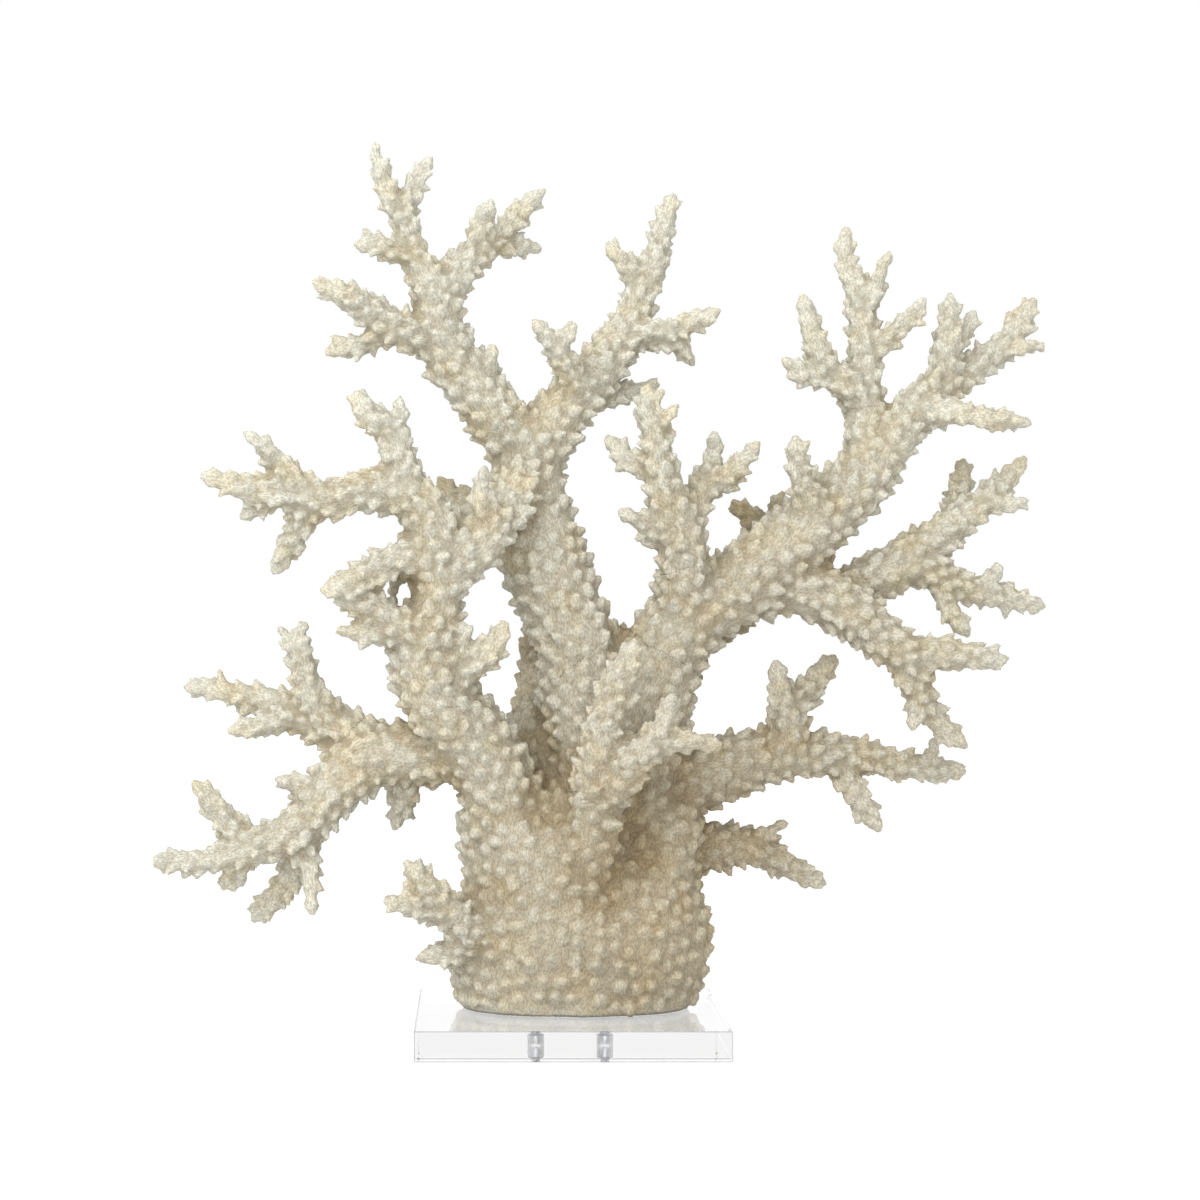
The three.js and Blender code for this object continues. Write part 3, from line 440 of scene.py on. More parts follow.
# Tone by the grain, [its value, its value, tone there, tone there], the grain's height as a bump,
# and the dark rim over the foot, a painted contact shade, [height, height, shade at the first]
SPECKLE = (0.42, 0.6, 0.78, 1.18)
GRAIN_BUMP = 0.3 * MM
FOOT_RIM_SHADE = (FOOT + 0.4 * MM, FOOT + 1.8 * MM, 0.55)
SOLE_EDGE = (FOOT + 0.02 * MM, FOOT + 0.08 * MM)

# Acrylic, which is clear but for its chamfers, greyed as painted shade, and its frosted holes, and steel
CHAMFER_SHADE_COLOR = (0.40, 0.41, 0.43, 1)
VOLUME_COLOR = (0.5, 0.5, 0.49, 1)
FROST = 0.55
STEEL_COLOR = (0.72, 0.73, 0.75, 1)
BRUSHINGS = 1500
BRUSHED = (0.2, 0.38)
# Edges that turn by more than this stay sharp, in degrees
BLOCK_SHARP = 30
SCREW_SHARP = 35

# Screws, with their room in the block, and their reach above it
SCREW_CORNERS = 36
SCREW_ROOM = 0.3 * MM
HEAD_RADIUS = COUNTERBORE_RADIUS - SCREW_ROOM
HEAD_HEIGHT = 4.6 * MM
HEAD_ROUND = 0.5 * MM
SOCKET_RADIUS = 2 * MM
SOCKET_DEPTH = 2.4 * MM
SOCKET_TAPER = 0.98
EDGE_BREAK = 0.1 * MM
SOFT_EDGE = 0.15 * MM
SCREW_REACH = 24 * MM
THREAD_START = 0.6 * MM
THREAD_PITCH = 1.6 * MM
THREAD_DEPTH = 0.55 * MM
THREAD_STEPS = 8
TIP_LENGTH = 3 * MM
TIP_DOME = 0.3 * MM
# The tip's shares of the crest's radius: how much the thread tapers, and the last ring's radius and
# how far it lies below the end
TIP_TAPER = 0.25
TIP_RADIUS = 0.35
TIP_HEIGHT = 0.4

# Studio: [name, place, size, watts]
LIT_POINT = (0.02, 0.0, 0.24)
LIGHTS = (
    ("key", (-1.0, -1.4, 1.6), 1.5, 28),
    ("front", (-0.3, -2.4, 0.9), 1.6, 20),
)
# How often light may turn inside the clear block
LIGHT_TURNS = 32
WORLD_STRENGTH = 1.0
# Floor: how much it glows, its grey, half its width, and how far it lies below the block
FLOOR_GLOW = 0.86
FLOOR_SHADE = 0.2
FLOOR_HALF = 6.0
FLOOR_DROP = 0.3 * MM
# How far the camera sees
FAR_END = 20


def place(knots):
    """Carries picture points along their lines of sight to their depths.

    unit = (depth - the eye's y) / FOCAL; x = the eye's x + (across - SIGHT_ACROSS) * unit;
    z = the eye's z - (down - SIGHT_DOWN) * unit; radius = half * unit. Gives [x, y, z, radius].
    """
    across, down, depth, half = np.array(knots, float).T
    unit = (depth * MM - EYE[1]) / FOCAL
    x = EYE[0] + (across - SIGHT_ACROSS) * unit
    z = EYE[2] - (down - SIGHT_DOWN) * unit
    return np.column_stack((x, depth * MM, z, half * unit))


def smooth_line(knots, step):
    """Points about a step apart on a smooth line through the knots, with their radii.

    Each span is a cubic Hermite curve, (2s3 - 3s2 + 1) p0 + (s3 - 2s2 + s) m0 + (3s2 - 2s3) p1 +
    (s3 - s2) m1, whose slopes m are the weighted means of the chords on both sides. The radius runs
    straight from knot to knot.
    """
    points = knots[:, :3]
    chords = np.linalg.norm(np.diff(points, axis=0), axis=1)
    times = np.concatenate(([0.0], np.cumsum(np.sqrt(chords))))
    spans = np.diff(times)
    slopes = np.diff(points, axis=0) / spans[:, None]
    before = spans[:-1, None]
    after = spans[1:, None]
    inner = (slopes[:-1] * after + slopes[1:] * before) / (before + after)
    tangents = np.vstack((slopes[:1], inner, slopes[-1:]))
    reach = np.concatenate(([0.0], np.cumsum(chords)))
    count = max(3, int(round(reach[-1] / step)) + 1)
    now = np.interp(np.linspace(0, reach[-1], count), reach, times)
    at = np.clip(np.searchsorted(times, now, side="right") - 1, 0, len(spans) - 1)
    s = ((now - times[at]) / spans[at])[:, None]
    span = spans[at][:, None]
    line = (2 * s**3 - 3 * s**2 + 1) * points[at]
    line += (s**3 - 2 * s**2 + s) * span * tangents[at]
    line += (3 * s**2 - 2 * s**3) * points[at + 1]
    line += (s**3 - s**2) * span * tangents[at + 1]
    return line, np.interp(now, times, knots[:, 3])


def row_dots(first, second):
    """Each row's dot product with the other array's row."""
    return np.einsum("ij,ij->i", first, second)


def unit_rows(rows):
    """Each row divided by its own length."""
    return rows / np.maximum(np.linalg.norm(rows, axis=-1, keepdims=True), NEVER_ZERO)


def directions(line):
    """Unit directions along a line and two across it, carried from ring to ring without twist."""
    along = unit_rows(np.gradient(line, axis=0))
    side = np.eye(3)[np.argmin(np.abs(along[0]))]
    sides = np.empty_like(along)
    for ring, direction in enumerate(along):
        side = side - direction * (side @ direction)
        side = side / np.linalg.norm(side)
        sides[ring] = side
    return along, sides, np.cross(along, sides)


def grid_cells(rows, columns):
    """The row and the column of each cell of a grid, row by row."""
    row, column = np.meshgrid(np.arange(rows), np.arange(columns), indexing="ij")
    return row.ravel(), column.ravel()


def grid_faces(rows, columns):
    """Triangles of a grid that closes round its columns, with an end point at each end.

    Points are numbered row by row; the two end points come after them.
    """
    row, column = grid_cells(rows - 1, columns)
    beside = (column + 1) % columns
    a = row * columns + column
    b = row * columns + beside
    c = (row + 1) * columns + beside
    d = (row + 1) * columns + column
    ring = np.arange(columns)
    turn = (ring + 1) % columns
    start = np.full(columns, rows * columns)
    end = start + 1
    last = (rows - 1) * columns
    return np.vstack((
        np.column_stack((a, b, c)),
        np.column_stack((a, c, d)),
        np.column_stack((start, turn, ring)),
        np.column_stack((end, last + ring, last + turn)),
    ))


def closed_grid(grid, start, end):
    """A closed surface from a grid of rings and its two end points."""
    rows, columns = grid.shape[:2]
    return np.vstack((grid.reshape(-1, 3), start, end)), grid_faces(rows, columns)


def together(parts):
    """Several (points, faces) pairs as one."""
    offsets = np.cumsum([0] + [len(points) for points, _ in parts[:-1]])
    points = np.vstack([points for points, _ in parts])
    faces = np.vstack([faces + offset for (_, faces), offset in zip(parts, offsets)])
    return points, faces


def circle_over(side, up, corners):
    """Unit circles across a line: cos(angle) * side + sin(angle) * up, for corners angles."""
    angles = np.linspace(0, 2 * np.pi, corners, endpoint=False)
    return side[:, None] * np.cos(angles)[:, None] + up[:, None] * np.sin(angles)[:, None]


def tube(line, radius):
    """A round branch with low domed ends: line + radius * circle, and on each dome, at lift angle b,
    the end's middle + radius * (DOME_SHARE * sin(b) * along + cos(b) * circle)."""
    along, side, up = directions(line)
    circle = circle_over(side, up, BRANCH_CORNERS)
    rings = line[:, None] + radius[:, None, None] * circle
    lift = np.radians(DOME_LIFTS)[:, None, None]
    rise = DOME_SHARE * np.sin(lift)
    first = line[0] - radius[0] * (rise[::-1] * along[0] - np.cos(lift[::-1]) * circle[0])
    last = line[-1] + radius[-1] * (rise * along[-1] + np.cos(lift) * circle[-1])
    grid = np.concatenate((first, rings, last))
    start = line[0] - DOME_SHARE * radius[0] * along[0]
    end = line[-1] + DOME_SHARE * radius[-1] * along[-1]
    return closed_grid(grid, start, end)


def trunk_surface():
    """The trunk, on a grid of height and angle.

    Each ring is the oval middle + (half width * cos(angle), half depth * sin(angle)), and each swell
    or hollow moves a point outward by its amount * exp(-(distance / reach) ** 2).
    """
    heights = np.linspace(TRUNK_RINGS[0, 0], TRUNK_RINGS[-1, 0], TRUNK_ROWS)
    middle_x, middle_y, width, depth = (
        np.interp(heights, TRUNK_RINGS[:, 0], values)[:, None] for values in TRUNK_RINGS.T[1:]
    )
    angles = np.linspace(0, 2 * np.pi, TRUNK_CORNERS, endpoint=False)
    outward = np.stack((np.cos(angles), np.sin(angles)), axis=-1)
    x = middle_x + (width - TRUNK_SINK) * outward[:, 0]
    y = middle_y + (depth - TRUNK_SINK) * outward[:, 1]
    z = np.broadcast_to(heights[:, None], x.shape)
    grid = np.stack((x, y, z), axis=-1)
    away = unit_rows(np.stack((outward[:, 0] / width, outward[:, 1] / depth, 0 * x), axis=-1))
    for *middle, reach, amount in TRUNK_SWELLS:
        distance = np.linalg.norm(grid - middle, axis=-1, keepdims=True)
        grid = grid + away * amount * np.exp(-((distance / reach) ** 2))
    low = TRUNK_RINGS[0, [1, 2, 0]]
    high = TRUNK_RINGS[-1, [1, 2, 0]] + (0, 0, TRUNK_DOME)
    return closed_grid(grid * MM, low * MM, high * MM)


def new_object(name, data):
    """An object for a mesh, a lamp or a camera, linked into the scene."""
    thing = bpy.data.objects.new(name, data)
    bpy.context.scene.collection.objects.link(thing)
    return thing


def mesh_object(name, points, *face_sets):
    """An object at the origin from points and sets of faces, each set of one corner count."""
    counts = np.concatenate([np.full(len(faces), faces.shape[1]) for faces in face_sets])
    loops = np.concatenate([faces.ravel() for faces in face_sets])
    mesh = bpy.data.meshes.new(name)
    mesh.vertices.add(len(points))
    mesh.vertices.foreach_set("co", points.astype(np.float32).ravel())
    mesh.loops.add(len(loops))
    mesh.loops.foreach_set("vertex_index", loops.astype(np.int32))
    mesh.polygons.add(len(counts))
    mesh.polygons.foreach_set("loop_start", (np.cumsum(counts) - counts).astype(np.int32))
    mesh.update(calc_edges=True)
    return new_object(name, mesh)


def remeshed(points, faces, voxel):
    """The outside of overlapping closed surfaces as one skin of squares, a voxel wide each."""
    piece = mesh_object("working", points, faces)
    remesh = piece.modifiers.new("outside", "REMESH")
    remesh.mode = "VOXEL"
    remesh.voxel_size = voxel
    done = piece.evaluated_get(bpy.context.evaluated_depsgraph_get()).to_mesh()
    skin = np.empty(len(done.vertices) * 3, np.float32)
    done.vertices.foreach_get("co", skin)
    squares = np.empty(len(done.loops), np.int32)
    done.loops.foreach_get("vertex_index", squares)
    counts = np.empty(len(done.polygons), np.int32)
    done.polygons.foreach_get("loop_total", counts)
    if not (counts == 4).all():
        raise ValueError("the remeshed skin isn't all squares")
    mesh = piece.data
    bpy.data.objects.remove(piece)
    bpy.data.meshes.remove(mesh)
    return skin.reshape(-1, 3).astype(float), squares.reshape(-1, 4)


def edges_of(faces):
    """The pairs of points that share an edge, each once."""
    pairs = np.sort(sides_of(faces)[0], axis=1)
    count = int(faces.max()) + 1
    keys = np.unique(pairs[:, 0].astype(np.int64) * count + pairs[:, 1])
    return np.column_stack((keys // count, keys % count))


def neighbour_mean(values, edges):
    """For each point, the mean of its neighbours' values."""
    count = len(values)
    a, b = edges.T
    degree = np.bincount(a, minlength=count) + np.bincount(b, minlength=count)
    columns = values.reshape(count, -1)
    total = np.empty_like(columns)
    for column in range(columns.shape[1]):
        total[:, column] = np.bincount(a, columns[b, column], count)
        total[:, column] += np.bincount(b, columns[a, column], count)
    return (total / np.maximum(degree, 1)[:, None]).reshape(values.shape)


def eased(points, edges, rounds, pull=0.5, push=-0.53):
    """Smooths without shrinking: each round pulls points towards their neighbours' mean, then pushes
    them back from it by slightly more."""
    for _ in range(rounds):
        points = points + pull * (neighbour_mean(points, edges) - points)
        points = points + push * (neighbour_mean(points, edges) - points)
    return points


def point_normals(points, faces):
    """Unit normals at points: the sum of the cross products of each square's diagonals around them."""
    across = np.cross(points[faces[:, 2]] - points[faces[:, 0]], points[faces[:, 3]] - points[faces[:, 1]])
    normals = np.empty_like(points)
    for axis in range(3):
        normals[:, axis] = sum(
            np.bincount(faces[:, corner], across[:, axis], len(points)) for corner in range(4)
        )
    return unit_rows(normals)


def by_thickness(branch_radius, values):
    """The value for a branch of the given radius, between the thinnest branch's and the trunk's."""
    return np.interp(branch_radius / TRUNK_RADIUS, THICKNESS, values)


def branch_lines():
    """Each branch as its line and the radius of the bare branch under the cups."""
    lines = []
    for branches in CORAL.values():
        for knots in branches:
            line, half = smooth_line(place(knots), LINE_STEP)
            sink = SINK_SHARE * by_thickness(half, CUP_RADIUS)
            lines.append((line, np.maximum(half - sink, BARE_LEAST)))
    return lines


def add_look(piece, name, values, domain):
    """Gives each point or face of a piece a number or three numbers for its material to read."""
    kind, field = ("FLOAT", "value") if values.ndim == 1 else ("FLOAT_VECTOR", "vector")
    layer = piece.data.attributes.new(name, kind, domain)
    layer.data.foreach_set(field, values.astype(np.float32).ravel())


def growth_marks(lines, trunk_points):
    """Marks all over the branches and the trunk that tell how the coral grows there.

    Each mark has its spot, the middle of its branch, the directions along and across it, the distance
    along it, and its radius.
    """
    marks = []
    for line, radius in lines:
        along, side, up = directions(line)
        steps = np.linalg.norm(np.diff(line, axis=0), axis=1)
        reach = np.concatenate(([0.0], np.cumsum(steps)))
        spots = line[:, None] + radius[:, None, None] * circle_over(side, up, MARK_CORNERS)
        rows = np.column_stack((line, along, side, up, reach, radius))
        rows = np.repeat(rows, MARK_CORNERS, axis=0)
        marks.append(np.column_stack((spots.reshape(-1, 3), rows)))
        end = line[-1] + DOME_SHARE * radius[-1] * along[-1]
        marks.append(np.concatenate((end, rows[-1]))[None])
    count = len(trunk_points)
    middle = np.column_stack((np.zeros((count, 2)), trunk_points[:, 2]))
    axes = np.tile(np.eye(3)[[2, 0, 1]].ravel(), (count, 1))
    thick = np.full(count, TRUNK_RADIUS)
    marks.append(np.column_stack((trunk_points, middle, axes, trunk_points[:, 2], thick)))
    return np.vstack(marks)


def tree_of(spots):
    """A tree that finds the spots near a place."""
    tree = KDTree(len(spots))
    for index, spot in enumerate(spots.tolist()):
        tree.insert(spot, index)
    tree.balance()
    return tree


def nearest_marks(points, marks):
    """For each point, the row of the growth mark nearest to it."""
    return nearest_values(points, marks[:, SPOT], marks)


def evenly(spots, spacing):
    """The spots that are kept when each one clears its own spacing of all later ones."""
    tree = tree_of(spots)
    free = np.ones(len(spots), bool)
    kept = []
    for index, spot in enumerate(spots):
        if free[index]:
            kept.append(index)
            free[[other for _, other, _ in tree.find_range(spot, spacing[index])]] = False
    return np.array(kept)


def cup_spots(marks, base_points, base_faces):
    """Even spots for the cups on the bare coral: (spot, outward, along, branch radius)."""
    outward = point_normals(base_points, base_faces)
    near = nearest_marks(base_points, marks)
    radius = near[:, RADIUS]
    order = draw.permutation(len(base_points))
    order = order[base_points[order, 2] > FOOT + CUP_FREE_BAND]
    spacing = by_thickness(radius, CUP_SPACING) * by_thickness(radius, CUP_RADIUS)
    kept = order[evenly(base_points[order], spacing[order])]
    return base_points[kept], outward[kept], near[kept, ALONG], radius[kept]


def cups(spots, outward, along, branch_radius):
    """All the cups as one set of closed surfaces.

    A cup's axis is cos(lean) * outward + sin(lean) * along, so it leans towards the branch's tip.
    Its points are spot + axis * height * height share + radius * radius share * circle across the axis.
    """
    count = len(spots)
    lean = np.radians(by_thickness(branch_radius, CUP_LEAN) + draw.normal(0, LEAN_SPREAD, count))
    axis = unit_rows(outward * np.cos(lean)[:, None] + along * np.sin(lean)[:, None])
    axis = unit_rows(axis + draw.normal(0, AXIS_SPREAD, (count, 3)))
    radius = by_thickness(branch_radius, CUP_RADIUS)
    radius = radius * np.clip(draw.normal(1, RADIUS_SPREAD, count), *RADIUS_SHARES)
    height = radius * by_thickness(branch_radius, CUP_LENGTH)
    height = height * np.clip(draw.normal(1, HEIGHT_SPREAD, count), *HEIGHT_SHARES)
    height = height * np.interp(spots[:, 2] - FOOT, FOOT_BAND, FOOT_CUPS)
    return cup_shapes(spots, axis, radius, height)


def cup_shapes(spots, axis, radius, height):
    """One closed cup for each spot, axis, radius and height."""
    count = len(spots)
    least = np.eye(3)[np.argmin(np.abs(axis), axis=1)]
    side = unit_rows(np.cross(axis, least))
    up = np.cross(axis, side)
    angles = np.linspace(0, 2 * np.pi, CUP_CORNERS, endpoint=False) + draw.random((count, 1)) * np.pi
    squash = 1 + draw.normal(0, SQUASH_SPREAD, (count, 1))
    circle = side[:, None] * (np.cos(angles) * squash)[..., None]
    circle = circle + up[:, None] * (np.sin(angles) / squash)[..., None]
    lift, width = CUP_OUTLINE.T
    rings = spots[:, None, None] + axis[:, None, None] * (height[:, None] * lift)[:, :, None, None]
    rings = rings + circle[:, None] * (radius[:, None] * width)[:, :, None, None]
    root = spots + axis * (height * lift[0])[:, None]
    dimple = spots + axis * (height * CUP_DIMPLE)[:, None]
    rows = len(CUP_OUTLINE)
    points = np.concatenate((rings.reshape(count, -1, 3), root[:, None], dimple[:, None]), axis=1)
    offsets = np.arange(count)[:, None, None] * (rows * CUP_CORNERS + 2)
    faces = grid_faces(rows, CUP_CORNERS) + offsets
    return points.reshape(-1, 3), faces.reshape(-1, 3)


def end_cups(lines):
    """A wider cup on the end of each branch, pointing on along it."""
    spots = np.array([line[-1] for line, _ in lines])
    axis = unit_rows(np.array([line[-1] - line[-3] for line, _ in lines]))
    tip = np.array([radius[-1] for _, radius in lines])
    return cup_shapes(spots, axis, np.clip(tip * END_SHARE, *END_RADII), tip + END_REACH)


def outward_facing(points, faces):
    """The points and the faces, turned round if the closed surface would otherwise be inside out."""
    a, b, c = (points[faces[:, corner]] for corner in range(3))
    volume = row_dots(a, np.cross(b, c)).sum()
    return points, faces if volume > 0 else faces[:, ::-1]


def largest_shell(points, faces):
    """The faces that hang together with the most others, and their points."""
    a, b = face_pairs(faces)
    patch = islands(len(faces), a, b)
    main = np.bincount(patch).argmax()
    used, own = np.unique(faces[patch == main], return_inverse=True)
    return points[used], own.reshape(-1, 4)


def swell_of(points, edges, marks):
    """How far each point swells: FILL_SHARE * its branch's radius, blurred over its neighbours."""
    swell = FILL_SHARE * nearest_marks(points, marks)[:, RADIUS]
    return blurred(swell, edges, FILL_BLUR)[:, None]


def filled_forks(points, faces, marks):
    """The bare coral with its forks filled: point + swell * normal, taken as one new skin, and then
    its point - swell * normal."""
    swell = swell_of(points, edges_of(faces), marks)
    swollen = points + swell * point_normals(points, faces)
    points, faces = remeshed(swollen, split_squares(faces), BASE_VOXEL)
    edges = edges_of(faces)
    points = eased(points, edges, SWOLLEN_EASING)
    points = points - swell_of(points, edges, marks) * point_normals(points, faces)
    return eased(points, edges, BASE_EASING), faces


def split_squares(squares):
    """Two triangles for each square."""
    return np.vstack((squares[:, [0, 1, 2]], squares[:, [0, 2, 3]]))


def grow_coral():
    """The whole coral's skin: bare branches blended at their forks, then their cups, joined as one.

    Gives the skin's points and faces, the growth marks, and the cleft measure at each point.
    """
    lines = branch_lines()
    trunk = trunk_surface()
    marks = growth_marks(lines, trunk[0])
    bare = [outward_facing(*trunk)]
    bare += [outward_facing(*tube(line, radius)) for line, radius in lines]
    base_points, base_faces = remeshed(*together(bare), BASE_VOXEL)
    base_points = eased(base_points, edges_of(base_faces), JOINED_EASING)
    base_points, base_faces = filled_forks(base_points, base_faces, marks)
    base_points[:, 2] = np.maximum(base_points[:, 2], FOOT)
    grown = [(base_points, split_squares(base_faces))]
    grown.append(outward_facing(*cups(*cup_spots(marks, base_points, base_faces))))
    grown.append(outward_facing(*end_cups(lines)))
    points, faces = largest_shell(*remeshed(*together(grown), SKIN_VOXEL))
    cleft = nearest_values(points, base_points, cleft_measure(base_points, base_faces))
    return points, faces, marks, cleft


def sides_of(faces):
    """Every side of every face as a pair of points, and the face that it belongs to."""
    corners = faces.shape[1]
    sides = np.vstack([faces[:, [k, (k + 1) % corners]] for k in range(corners)])
    return sides, np.tile(np.arange(len(faces)), corners)


def face_pairs(faces):
    """Pairs of faces that share a side."""
    sides, owner = sides_of(faces)
    sides = np.sort(sides, axis=1).astype(np.int64)
    keys = sides[:, 0] * (int(faces.max()) + 1) + sides[:, 1]
    order = np.argsort(keys, kind="stable")
    same = keys[order][1:] == keys[order][:-1]
    return owner[order][1:][same], owner[order][:-1][same]


def islands(count, a, b):
    """A number for each face that is the same all over each connected patch of joined pairs a, b."""
    root = np.arange(count)
    while True:
        low = np.minimum(root[a], root[b])
        high = np.maximum(root[a], root[b])
        if (low == high).all():
            return root
        np.minimum.at(root, high, low)
        while (root[root] != root).any():
            root = root[root]


def voted(labels, a, b, kinds, least):
    """Each face takes the label that most of its neighbours hold, where at least so many do."""
    count = len(labels)
    votes = np.bincount(a * kinds + labels[b], minlength=count * kinds)
    votes += np.bincount(b * kinds + labels[a], minlength=count * kinds)
    votes = votes.reshape(count, kinds)
    best = votes.argmax(axis=1)
    return np.where(votes[np.arange(count), best] >= least, best, labels)


def without_strays(labels, a, b, kinds):
    """Gives each patch that is cut off from its label's largest patch to what surrounds it."""
    joined = labels[a] == labels[b]
    patch = islands(len(labels), a[joined], b[joined])
    size = np.bincount(patch, minlength=len(labels))
    largest = np.zeros(kinds, int)
    np.maximum.at(largest, labels, size[patch])
    stray = size[patch] < largest[labels]
    labels = labels.copy()
    while stray.any():
        onto_a = stray[a] & ~stray[b]
        onto_b = stray[b] & ~stray[a]
        if not (onto_a.any() or onto_b.any()):
            break
        labels[a[onto_a]] = labels[b[onto_a]]
        labels[b[onto_b]] = labels[a[onto_b]]
        stray[a[onto_a]] = False
        stray[b[onto_b]] = False
    return labels


def node_labels(points, faces, names):
    """For each face, the number of the frame's node that it lies nearest to, without stray patches."""
    corners = []
    triangles = []
    owner = []
    for number, name in enumerate(names):
        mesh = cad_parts[name].data
        offset = len(corners)
        corners += [vertex.co[:] for vertex in mesh.vertices]
        for polygon in mesh.polygons:
            triangles.append([offset + corner for corner in polygon.vertices])
            owner.append(number)
    tree = BVHTree.FromPolygons(corners, triangles)
    centres = points[faces].mean(axis=1).tolist()
    labels = np.array(owner)[[tree.find_nearest(centre)[2] for centre in centres]]
    a, b = face_pairs(faces)
    for _ in range(VOTE_ROUNDS):
        labels = voted(labels, a, b, len(names), VOTES_LEAST)
    for _ in range(STRAY_ROUNDS):
        labels = without_strays(labels, a, b, len(names))
    return labels


def caps(faces, points):
    """Triangles that close a piece where it was parted from its neighbours.

    Each open rim is walked round and fanned to its middle. Gives the middles and the triangles.
    """
    sides, _ = sides_of(faces)
    sides = sides.astype(np.int64)
    count = int(faces.max()) + 1
    forward = sides[:, 0] * count + sides[:, 1]
    backward = sides[:, 1] * count + sides[:, 0]
    rim = sides[~np.isin(forward, backward)]
    following = {}
    for start, end in rim.tolist():
        following.setdefault(start, []).append(end)
    middles = []
    triangles = []
    while following:
        first = next(iter(following))
        loop = [first]
        here = first
        while True:
            choices = following[here]
            step = choices.pop()
            if not choices:
                del following[here]
            if step == first:
                break
            loop.append(step)
            here = step
        middle = len(points) + len(middles)
        middles.append(points[loop].mean(axis=0))
        turned = loop[1:] + loop[:1]
        triangles += [(after, before, middle) for before, after in zip(loop, turned)]
    return middles, triangles


def grain_places(points, marks):
    """Each point in its own branch's frame, as if the branch were straight: the two distances across
    it, and GRAIN_STRETCH * the distance along it, so that a grain on them runs along the branch."""
    near = nearest_marks(points, marks)
    offset = points - near[:, MIDDLE]
    across = row_dots(offset, near[:, SIDE])
    over = row_dots(offset, near[:, OVER])
    reach = near[:, REACH] + row_dots(offset, near[:, ALONG])
    return np.column_stack((across, over, GRAIN_STRETCH * reach))


def part_coral(points, faces, looks, finish):
    """Parts the coral's skin into one closed piece for each of the frame's coral nodes."""
    names = [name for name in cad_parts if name.startswith("coral_")]
    labels = node_labels(points, faces, names)
    for number, name in enumerate(names):
        used, squares = np.unique(faces[labels == number], return_inverse=True)
        squares = squares.reshape(-1, 4)
        middles, triangles = caps(squares, points[used])
        triangles = np.array(triangles, int).reshape(-1, 3)
        own = np.vstack((points[used], np.reshape(middles, (-1, 3))))
        piece = mesh_object(f"{name}_skin", own, squares, triangles)
        smooth = np.arange(len(squares) + len(triangles)) < len(squares)
        piece.data.polygons.foreach_set("use_smooth", smooth)
        # A cap's middle isn't seen, and takes the looks of the skin's first point
        sources = np.concatenate((used, np.zeros(len(middles), int)))
        for label, values in looks.items():
            add_look(piece, label, values[sources], "POINT")
        piece.data.update()
        piece.data.materials.append(finish)
        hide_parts(name)
        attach(piece, "root")


def blurred(values, edges, rounds):
    """Values after so many rounds in which each point takes its neighbours' mean."""
    for _ in range(rounds):
        values = neighbour_mean(values, edges)
    return values


def cleft_measure(points, faces):
    """How deep each point of the bare coral lies in a fork or a pocket, from 0 to 1.

    depth = (mean of the points around, blurred wide, - the point) . normal, from 0 at CLEFT_LEAST to
    1 at CLEFT_MOST.
    """
    edges = edges_of(faces)
    around = blurred(points, edges, CLEFT_ROUNDS)
    depth = row_dots(around - points, point_normals(points, faces))
    depth = blurred(depth, edges, CLEFT_BLUR)
    return np.clip((depth - CLEFT_LEAST) / (CLEFT_MOST - CLEFT_LEAST), 0, 1)


def nearest_values(points, places, values):
    """For each point, the value of the place nearest to it."""
    tree = tree_of(places)
    return values[[tree.find(point)[1] for point in points.tolist()]]


def hollow_measure(points, faces, edges):
    """How deep each point lies between its surroundings, from 0 on a crest to 1 in a cleft.

    depth = (mean of the points around - the point) . normal, for a near and a wide surrounding, each
    divided by its own usual depth; hollow = 0.5 + 0.5 * tanh(their weighted sum).
    """
    normals = point_normals(points, faces)
    total = np.zeros(len(points))
    around = points
    for rounds, usual, weight in HOLLOWS:
        around = blurred(around, edges, rounds)
        total += weight * row_dots(around - points, normals) / usual
    return 0.5 + 0.5 * np.tanh(total)


def roughened(points, faces, edges):
    """Fine grain: each point moves along its normal by GRAIN times a random number, less the mean of
    its neighbours' numbers."""
    noise = draw.normal(0, 1, len(points))
    noise = noise - neighbour_mean(noise, edges)
    lift = GRAIN * np.clip(noise, -GRAIN_MOST, GRAIN_MOST)
    return points + point_normals(points, faces) * lift[:, None]


def new_material(name):
    """A material with its node tree and its shader."""
    finish = bpy.data.materials.new(name)
    finish.use_nodes = True
    return finish, finish.node_tree, finish.node_tree.nodes["Principled BSDF"]


def set_inputs(tree, node, inputs):
    """Sets a node's inputs: a socket is linked to its input, and anything else is its own value."""
    for name, value in inputs.items():
        if isinstance(value, bpy.types.NodeSocket):
            tree.links.new(value, node.inputs[name])
        else:
            node.inputs[name].default_value = value


def new_node(tree, kind, inputs, **settings):
    """A node of this kind with its settings and inputs."""
    node = tree.nodes.new(kind)
    for name, value in settings.items():
        setattr(node, name, value)
    set_inputs(tree, node, inputs)
    return node


def object_place(tree):
    """Where a point lies in its object."""
    return new_node(tree, "ShaderNodeTexCoord", {}).outputs["Object"]


def noise_of(tree, places, spots, **inputs):
    """A noise over these places, with about so many spots to a metre."""
    inputs = {"Vector": places, "Scale": spots, **inputs}
    return new_node(tree, "ShaderNodeTexNoise", inputs).outputs["Fac"]


def look_of(tree, name, kind="Fac"):
    """A piece's own look of this name."""
    return new_node(tree, "ShaderNodeAttribute", {}, attribute_name=name).outputs[kind]


def faded(tree, source, start, end, low=0.0, high=1.0):
    """low where the source is at start or before it, high from end on, and straight between them."""
    inputs = {"Value": source, "From Min": start, "From Max": end, "To Min": low, "To Max": high}
    return new_node(tree, "ShaderNodeMapRange", inputs).outputs["Result"]


